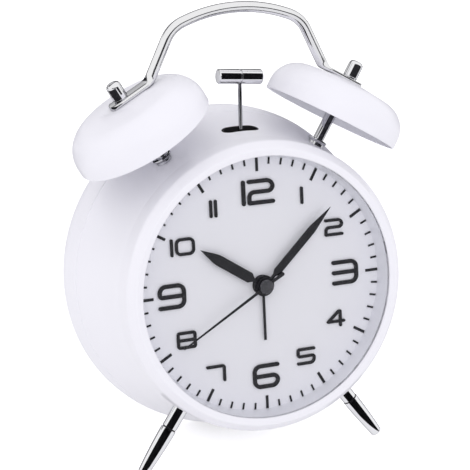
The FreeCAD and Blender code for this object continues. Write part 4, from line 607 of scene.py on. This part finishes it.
def bells():
    for word, side in SIDES.items():
        # The inner face of each dome takes the greyer inside finish, which is painted shade.
        add(f"bell_dome_{word}", lathe(bell_profile(), 256, second=in_dome), CASE,
            BELL_OUT, bell_place(side), [f"bell_{word}"], 40, [BELL_INSIDE_SHADED])
        post = around_dial(side * BELL_ANGLE, BELL_PLANE)
        # Post and collar take the darker post chrome, which is painted shade.
        add(f"post_shaft_{word}", lathe([
            (0, POST_INNER),
            (POST_RADIUS - POST_CHAMFER, POST_INNER),
            (POST_RADIUS, POST_INNER + POST_CHAMFER),
            (POST_RADIUS, BELL_TOP - BELL_WALL / 2),
            (0, BELL_TOP - BELL_WALL / 2),
        ], 96, False), CASE, POST, post, [f"bell_post_{word}"])
        add(f"collar_{word}", lathe(rounded([
            (POST_RADIUS, COLLAR_FOOT),
            (COLLAR_NECK, COLLAR_FOOT),
            (COLLAR_NECK, COLLAR_TOP - 1.4, 0.2),
            (COLLAR_RADIUS, COLLAR_TOP - 0.6, 0.2),
            (COLLAR_RADIUS, COLLAR_TOP, 0.1),
            (COLLAR_RADIUS - 0.75, COLLAR_TOP - 0.5, 0.3),
            (POST_RADIUS, COLLAR_TOP - 0.7),
        ]), 96), CASE, POST, post, [f"post_collar_{word}"])
        add(f"dome_nut_{word}", lathe(rounded([
            (0, TAB_THICK),
            (NUT_RADIUS * 0.86, TAB_THICK),
            (NUT_RADIUS, TAB_THICK + 0.5, 0.3),
            (NUT_RADIUS, TAB_THICK + NUT_HEIGHT, NUT_DOME),
            (0, TAB_THICK + NUT_HEIGHT),
        ], 16), 96, False), CASE, NUT, bell_place(side), [f"cap_nut_{word}"])


# Handle

def arc(centre, start, end, steps):
    """Points and headings along the shorter arc from start to end, in the handle's plane."""
    first, last = start - centre, end - centre
    sweep = first.angle_signed(last)
    run = []
    for k in range(steps + 1):
        spoke = Matrix.Rotation(-sweep * k / steps, 2) @ first
        heading = Vector((spoke.y, -spoke.x)).normalized() * (1 if sweep > 0 else -1)
        run.append((centre + spoke, heading))
    return run


def handle_run():
    """The right half of the handle from the middle to its end.

    Each entry holds the place, the heading, half the thickness and half the width.
    """
    tilt = math.radians(BELL_LEAN)
    normal = Vector((math.sin(tilt), math.cos(tilt)))
    out = Vector((math.cos(tilt), -math.sin(tilt)))
    bell = math.radians(BELL_ANGLE)
    seat = Vector((math.sin(bell), math.cos(bell))) * BELL_TOP + normal * (TAB_THICK / 2)
    bend = Vector((BEND_X, (seat.dot(normal) - BEND_X * math.sin(tilt)) / math.cos(tilt)))
    arch = HANDLE_ARCH
    arch_centre = Vector((0, HANDLE_TOP - arch))
    inner = (1 - SHOULDER_SHARE) * SHOULDER_X
    drop = SHOULDER_SHARE * SHOULDER_X * inner / arch
    shoulder = Vector((SHOULDER_X, arch_centre.y + math.sqrt(arch ** 2 - inner ** 2) - drop))
    arm = (bend - shoulder).normalized()
    side = Vector((arm.y, -arm.x))
    if side.dot(arch_centre - shoulder) < 0:
        side = -side
    spot = shoulder + side * SHOULDER_TURN
    away = spot - arch_centre
    along = away.dot(arm)
    step = -along - math.sqrt(along ** 2 - away.dot(away) + (arch - SHOULDER_TURN) ** 2)
    turn_centre = spot + arm * step
    on_arm = turn_centre - side * SHOULDER_TURN
    on_arch = arch_centre + (turn_centre - arch_centre).normalized() * arch
    half_turn = (-arm).angle(out) / 2
    reach = BEND_TURN / math.tan(half_turn)
    bend_start, bend_end = bend - arm * reach, bend + out * reach
    bend_centre = bend + (out - arm).normalized() * (BEND_TURN / math.sin(half_turn))
    round_half, thin, wide = HANDLE_RADIUS, TAB_THICK / 2, TAB_WIDE / 2
    run = [(spot, heading, round_half, round_half)
           for spot, heading in arc(arch_centre, arch_centre + Vector((0, arch)), on_arch, 40)]
    run += [(spot, heading, round_half, round_half)
            for spot, heading in arc(turn_centre, on_arch, on_arm, 20)[1:]]
    run += [(on_arm.lerp(bend_start, k / 6), arm, round_half, round_half) for k in range(1, 6)]
    bends = arc(bend_centre, bend_start, bend_end, 16)
    for k, (spot, heading) in enumerate(bends):
        share = k / (len(bends) - 1)
        share = share * share * (3 - 2 * share)
        run.append((spot, heading, round_half + (thin - round_half) * share,
                    round_half + (wide - round_half) * share))
    length = (seat - bend_end).dot(out)
    run += [(bend_end + out * (length * k / TAB_STEPS), out, thin, wide) for k in range(1, TAB_STEPS + 1)]
    for k in range(1, TAB_END_STEPS + 1):
        beyond = TAB_OVERHANG * math.sin(math.pi / 2 * k / TAB_END_STEPS)
        half = min(wide, math.sqrt(max(TAB_OVERHANG ** 2 - beyond ** 2, 0.01)))
        run.append((seat + out * beyond, out, min(thin, half), half))
    return run


def handle():
    """One bent rod whose two ends are pressed flat."""
    right = handle_run()
    left = [(Vector((-spot.x, spot.y)), Vector((heading.x, -heading.y)), thick, wide)
            for spot, heading, thick, wide in reversed(right[1:])]
    mesh = bmesh.new()
    count = 48
    rings = []
    for spot, heading, thick, wide in left + right:
        up = Vector((-heading.y, heading.x))
        corner = min(thick, wide)
        ring = []
        for k in range(count):
            angle = 2 * math.pi * (k + 0.5) / count
            side, rise = math.cos(angle), math.sin(angle)
            across = corner * side + math.copysign(wide - corner, side)
            over = corner * rise + math.copysign(thick - corner, rise)
            place = spot + up * over
            ring.append(mesh.verts.new((place.x * MM, across * MM, place.y * MM)))
        rings.append(ring)
    for low, high in zip(rings, rings[1:]):
        for k in range(count):
            following = (k + 1) % count
            mesh.faces.new((low[k], low[following], high[following], high[k]))
    mesh.faces.new(rings[0])
    mesh.faces.new(reversed(rings[-1]))
    bmesh.ops.recalc_face_normals(mesh, faces=mesh.faces)
    add("carry_handle", mesh, CASE, HANDLE, crown_place(), ["handle"], 45)


# Hammer, legs and cells

def head_place():
    """The frame of the hammer's head on its rod, and the rod's length above the pivot."""
    reach = (HEAD_HEIGHT - PIVOT_HEIGHT) / math.cos(math.radians(HAMMER_LEAN))
    turn = Matrix.Rotation(math.radians(90 + HEAD_TILT), 4, "Y")
    return Matrix.Translation((0, 0, reach * MM)) @ turn, reach


def hammer():
    half, radius, groove = HEAD_LENGTH / 2, HEAD_RADIUS, HEAD_GROOVE
    turn, reach = head_place()
    add("hammer_barrel", lathe(rounded([
        (0, -half),
        (radius, -half, HEAD_EDGE),
        (radius, -groove, 0.08),
        (radius - groove, -groove),
        (radius - groove, groove),
        (radius, groove, 0.08),
        (radius, half, HEAD_EDGE),
        (0, half),
    ]), 128, False), "hammer", HAMMER, hammer_place() @ turn, ["hammer_head"], 40)
    # The rod takes the darker rod chrome, which is painted shade.
    add("hammer_wire", lathe([
        (0, ROD_FOOT),
        (ROD_RADIUS, ROD_FOOT),
        (ROD_RADIUS, reach),
        (0, reach),
    ], 64, False), "hammer", ROD, hammer_place(), ["hammer_rod"])


def in_groove(number, low, high):
    """True for the groove near the drum."""
    near, far = min(low[1], high[1]), max(low[1], high[1])
    return near > LEG_GROOVE - 1.5 * GROOVE_WIDE and far < LEG_GROOVE + 0.01


def legs():
    top, belly, tip = LEG_TOP_RADIUS, LEG_BELLY_RADIUS, LEG_TIP_RADIUS
    bottom = top - GROOVE_DEEP
    swell = LEG_GROOVE + 0.3
    run = LEG_TIP - 1.0 - LEG_GROOVE
    shares = [k / 12 for k in range(1, 13)]
    side_points = [(belly - (belly - tip) * share ** LEG_TAPER, swell + run * share) for share in shares]
    turn = LEG_TIP_TURN
    rounding = [(tip - turn + turn * math.cos(a), LEG_TIP - turn + turn * math.sin(a))
                for a in [math.pi / 2 * k / 8 for k in range(1, 9)]]
    profile = [
        (0, LEG_ROOT),
        (top, LEG_ROOT),
        (top, LEG_GROOVE - GROOVE_WIDE - 0.05),
        (bottom, LEG_GROOVE - GROOVE_WIDE),
        (bottom, LEG_GROOVE),
        (belly - 0.1, LEG_GROOVE),
        (belly, LEG_GROOVE + 0.25),
        *side_points,
        *rounding,
        (0, LEG_TIP),
    ]
    for word, side in SIDES.items():
        add(f"foot_{word}", lathe(profile, 128, False, in_groove), CASE, LEG,
            around_dial(180 - side * LEG_ANGLE, LEG_PLANE), [f"leg_{word}"], 40, [RING])


def in_band(number, low, high):
    """True for the part of a cell's film next to its raised end."""
    return min(low[1], high[1]) > CELL_BAND_START - 0.1


def cells():
    half = CELL_LENGTH / 2
    profile = rounded([
        (0, -half),
        (CELL_RADIUS, -half, 0.7),
        (CELL_RADIUS, CELL_BAND_START),
        (CELL_RADIUS, half, 0.7),
        (CELL_RADIUS * 0.4, half),
        (CELL_RADIUS * 0.38, half + CELL_BUTTON, 0.3),
        (0, half + CELL_BUTTON),
    ])
    for word, side in (("low", -1), ("high", 1)):
        spot = Vector((side * CELL_STAGGER, CELL_DEPTH, CELL_ROW + side * CELL_SPACING))
        place = Matrix.Translation(spot * MM)
        turn = Matrix.Rotation(math.radians(side * 90), 4, "Y")
        add(f"cell_{word}", lathe(profile, 96, False, in_band), CASE, CELL,
            place @ turn, ["batteries"], 40, [CELL_BAND])


# Camera, light and floor

def camera():
    data = bpy.data.cameras.new("camera")
    data.sensor_width = SENSOR_WIDTH
    data.lens = FOCAL_PIXELS / PICTURE_WIDTH * SENSOR_WIDTH
    data.clip_start = 0.01
    data.clip_end = 20
    seen = bpy.data.objects.new("camera", data)
    bpy.context.scene.collection.objects.link(seen)
    right = Vector((0.9256043, -0.37553216, -0.04724703))
    up = Vector((0.1156153, 0.16166277, 0.98005013))
    back = Vector((-0.36040226, -0.91260109, 0.19305302))
    turn = Matrix((right, up, back)).transposed().to_4x4()
    seen.matrix_world = STANCE @ Matrix.Translation(VIEWER) @ turn
    bpy.context.scene.camera = seen


def area_lamp(name, spot, target, size, power):
    """A square soft lamp that points at target."""
    data = bpy.data.lights.new(name, "AREA")
    data.shape = "RECTANGLE"
    data.size = data.size_y = size
    data.energy = power
    lamp = bpy.data.objects.new(name, data)
    bpy.context.scene.collection.objects.link(lamp)
    lamp.location = spot
    lamp.rotation_euler = (Vector(target) - Vector(spot)).to_track_quat("-Z", "Y").to_euler()
    return lamp


def studio():
    """A pale tent with even light all round and one soft lamp.

    The camera sees it white. Mirrors see it white too, with a dark strip in front at the viewer's
    height and two behind.
    """
    world = bpy.data.worlds.new("studio")
    bpy.context.scene.world = world
    world.use_nodes = True
    tree = world.node_tree
    tree.nodes.clear()
    sky = Finish.__new__(Finish)  # only its node methods, on the world's own tree
    sky.tree = tree
    rays = sky.node("ShaderNodeLightPath")
    white_seen = rays["Is Camera Ray"]
    mirror = rays["Is Glossy Ray"]
    direction = sky.node("ShaderNodeTexCoord")["Generated"]
    parts = sky.node("ShaderNodeSeparateXYZ", None, {0: direction})
    depth, height = parts["Y"], parts["Z"]
    front_dark = height.inside(-0.2, 0.22, 0.03) * (1 - depth.between(-0.66, -0.58))
    rear_low = 1 - height.between(0.14, 0.22)
    rear_high = height.inside(0.38, 0.68, 0.03)
    rear_dark = depth.between(0.45, 0.60) * (rear_low + rear_high)
    tone = sky.blend(front_dark + rear_dark, (1.0, 1.0, 1.0), (0.03, 0.03, 0.035))
    colour = sky.blend(mirror, (0.94, 0.936, 0.965), tone)
    background = tree.nodes.new("ShaderNodeBackground")
    output = tree.nodes.new("ShaderNodeOutputWorld")
    sky.feed(background.inputs["Color"], sky.blend(white_seen, colour, (1, 1, 1)))
    background.inputs["Strength"].default_value = 1.0
    tree.links.new(background.outputs[0], output.inputs["Surface"])
    key = area_lamp("key", (-0.30, -0.90, 0.70), (0, 0, 0.07), 0.6, 0.75)
    key.visible_glossy = False


def plane(name, corners, finish):
    """A flat sheet of the studio, which isn't part of the clock."""
    mesh = bmesh.new()
    mesh.faces.new([mesh.verts.new(corner) for corner in corners])
    data = bpy.data.meshes.new(name)
    mesh.to_mesh(data)
    mesh.free()
    sheet = bpy.data.objects.new(name, data)
    bpy.context.scene.collection.objects.link(sheet)
    data.materials.append(finish.material)
    return sheet


def floor():
    """A pale floor that reads as white and keeps the clock's shadow."""
    made = Finish("floor_white", (0.95, 0.95, 0.95), Specular_IOR_Level=0.0, Roughness=0.9)
    rays = made.node("ShaderNodeLightPath")
    across, depth, _ = made.axes()
    pale = 1 - depth.between(0.30, 0.40) * across.between(-0.25, -0.15)
    glow = made.node("ShaderNodeEmission", None, {"Color": (1, 1, 1), "Strength": 0.5})
    mirrored = made.node("ShaderNodeEmission", None, {
        "Color": made.blend(pale, (0.02, 0.02, 0.024), (0.9, 0.9, 0.92)), "Strength": 1.0})
    both = made.node("ShaderNodeAddShader")
    made.tree.links.new(made.shader.outputs[0], both.node.inputs[0])
    made.tree.links.new(glow.node.outputs[0], both.node.inputs[1])
    seen = made.node("ShaderNodeMixShader", None, {0: rays["Is Camera Ray"]})
    made.tree.links.new(made.shader.outputs[0], seen.node.inputs[1])
    made.tree.links.new(both.node.outputs[0], seen.node.inputs[2])
    final = made.node("ShaderNodeMixShader", None, {0: rays["Is Glossy Ray"]})
    made.tree.links.new(seen.node.outputs[0], final.node.inputs[1])
    made.tree.links.new(mirrored.node.outputs[0], final.node.inputs[2])
    made.tree.links.new(final.node.outputs[0], made.output.inputs["Surface"])
    reach = 3.0
    plane("floor", [(x * reach, y * reach, 0) for x, y in ((-1, -1), (1, -1), (1, 1), (-1, 1))], made)


def dark_card(name, place, low, high, first, last, gap, tone=0.01):
    """A small dark card beside a round polished piece, which only mirrors see.

    It stands where the viewer in front sees its reflection between the shares first and last of the
    piece's width, from height low to high on the piece's axis.
    """
    dark = Finish(name, (tone, tone, tone * 1.1), Roughness=0.9, Specular_IOR_Level=0.0)
    eye = (STANCE @ place).inverted() @ STANCE @ VIEWER
    sight = eye - Vector((0, 0, (low + high) / 2 * MM))
    slope = -sight.z / math.hypot(sight.x, sight.y)
    ahead = math.atan2(sight.y, sight.x)
    start, end = [ahead + 2 * math.asin(2 * share - 1) for share in (first, last)]
    reach = gap / math.cos((end - start) / 2)
    corners = [(reach * math.cos(turn), reach * math.sin(turn), height + slope * reach)
               for turn, height in ((start, low), (end, low), (end, high), (start, high))]
    card = plane(name, [STANCE @ place @ (Vector(corner) * MM) for corner in corners], dark)
    card.visible_camera = False
    card.visible_diffuse = False
    card.visible_shadow = False
    card.visible_transmission = False


def cards():
    """The dark cards of the hammer, the legs, the posts and the nuts."""
    turn, reach = head_place()
    past_head = 14
    dark_card("card_hammer", hammer_place() @ turn, -past_head, past_head, 0.30, 0.68, 12)
    dark_card("card_rod", hammer_place(), 8, reach - 2, 0.15, 0.85, 4)
    for word, side in SIDES.items():
        leg = around_dial(180 - side * LEG_ANGLE, LEG_PLANE)
        post = around_dial(side * BELL_ANGLE, BELL_PLANE)
        dark_card(f"card_leg_{word}", leg, 50, LEG_TIP + 3, 0.28, 0.70, 8)
        dark_card(f"card_post_{word}", post, COLLAR_TOP - 6, BELL_TOP - 4, 0.45, 0.85, 6, 0.09)
        near, far = (0.12, 0.55) if side < 0 else (0.42, 0.85)
        dark_card(f"card_nut_{word}", bell_place(side), TAB_THICK, TAB_THICK + NUT_HEIGHT + 1,
                  near, far, 6, 0.04)


front()
bells()
handle()
hammer()
legs()
cells()
camera()
studio()
floor()
cards()
bpy.context.scene.view_settings.view_transform = "Standard"
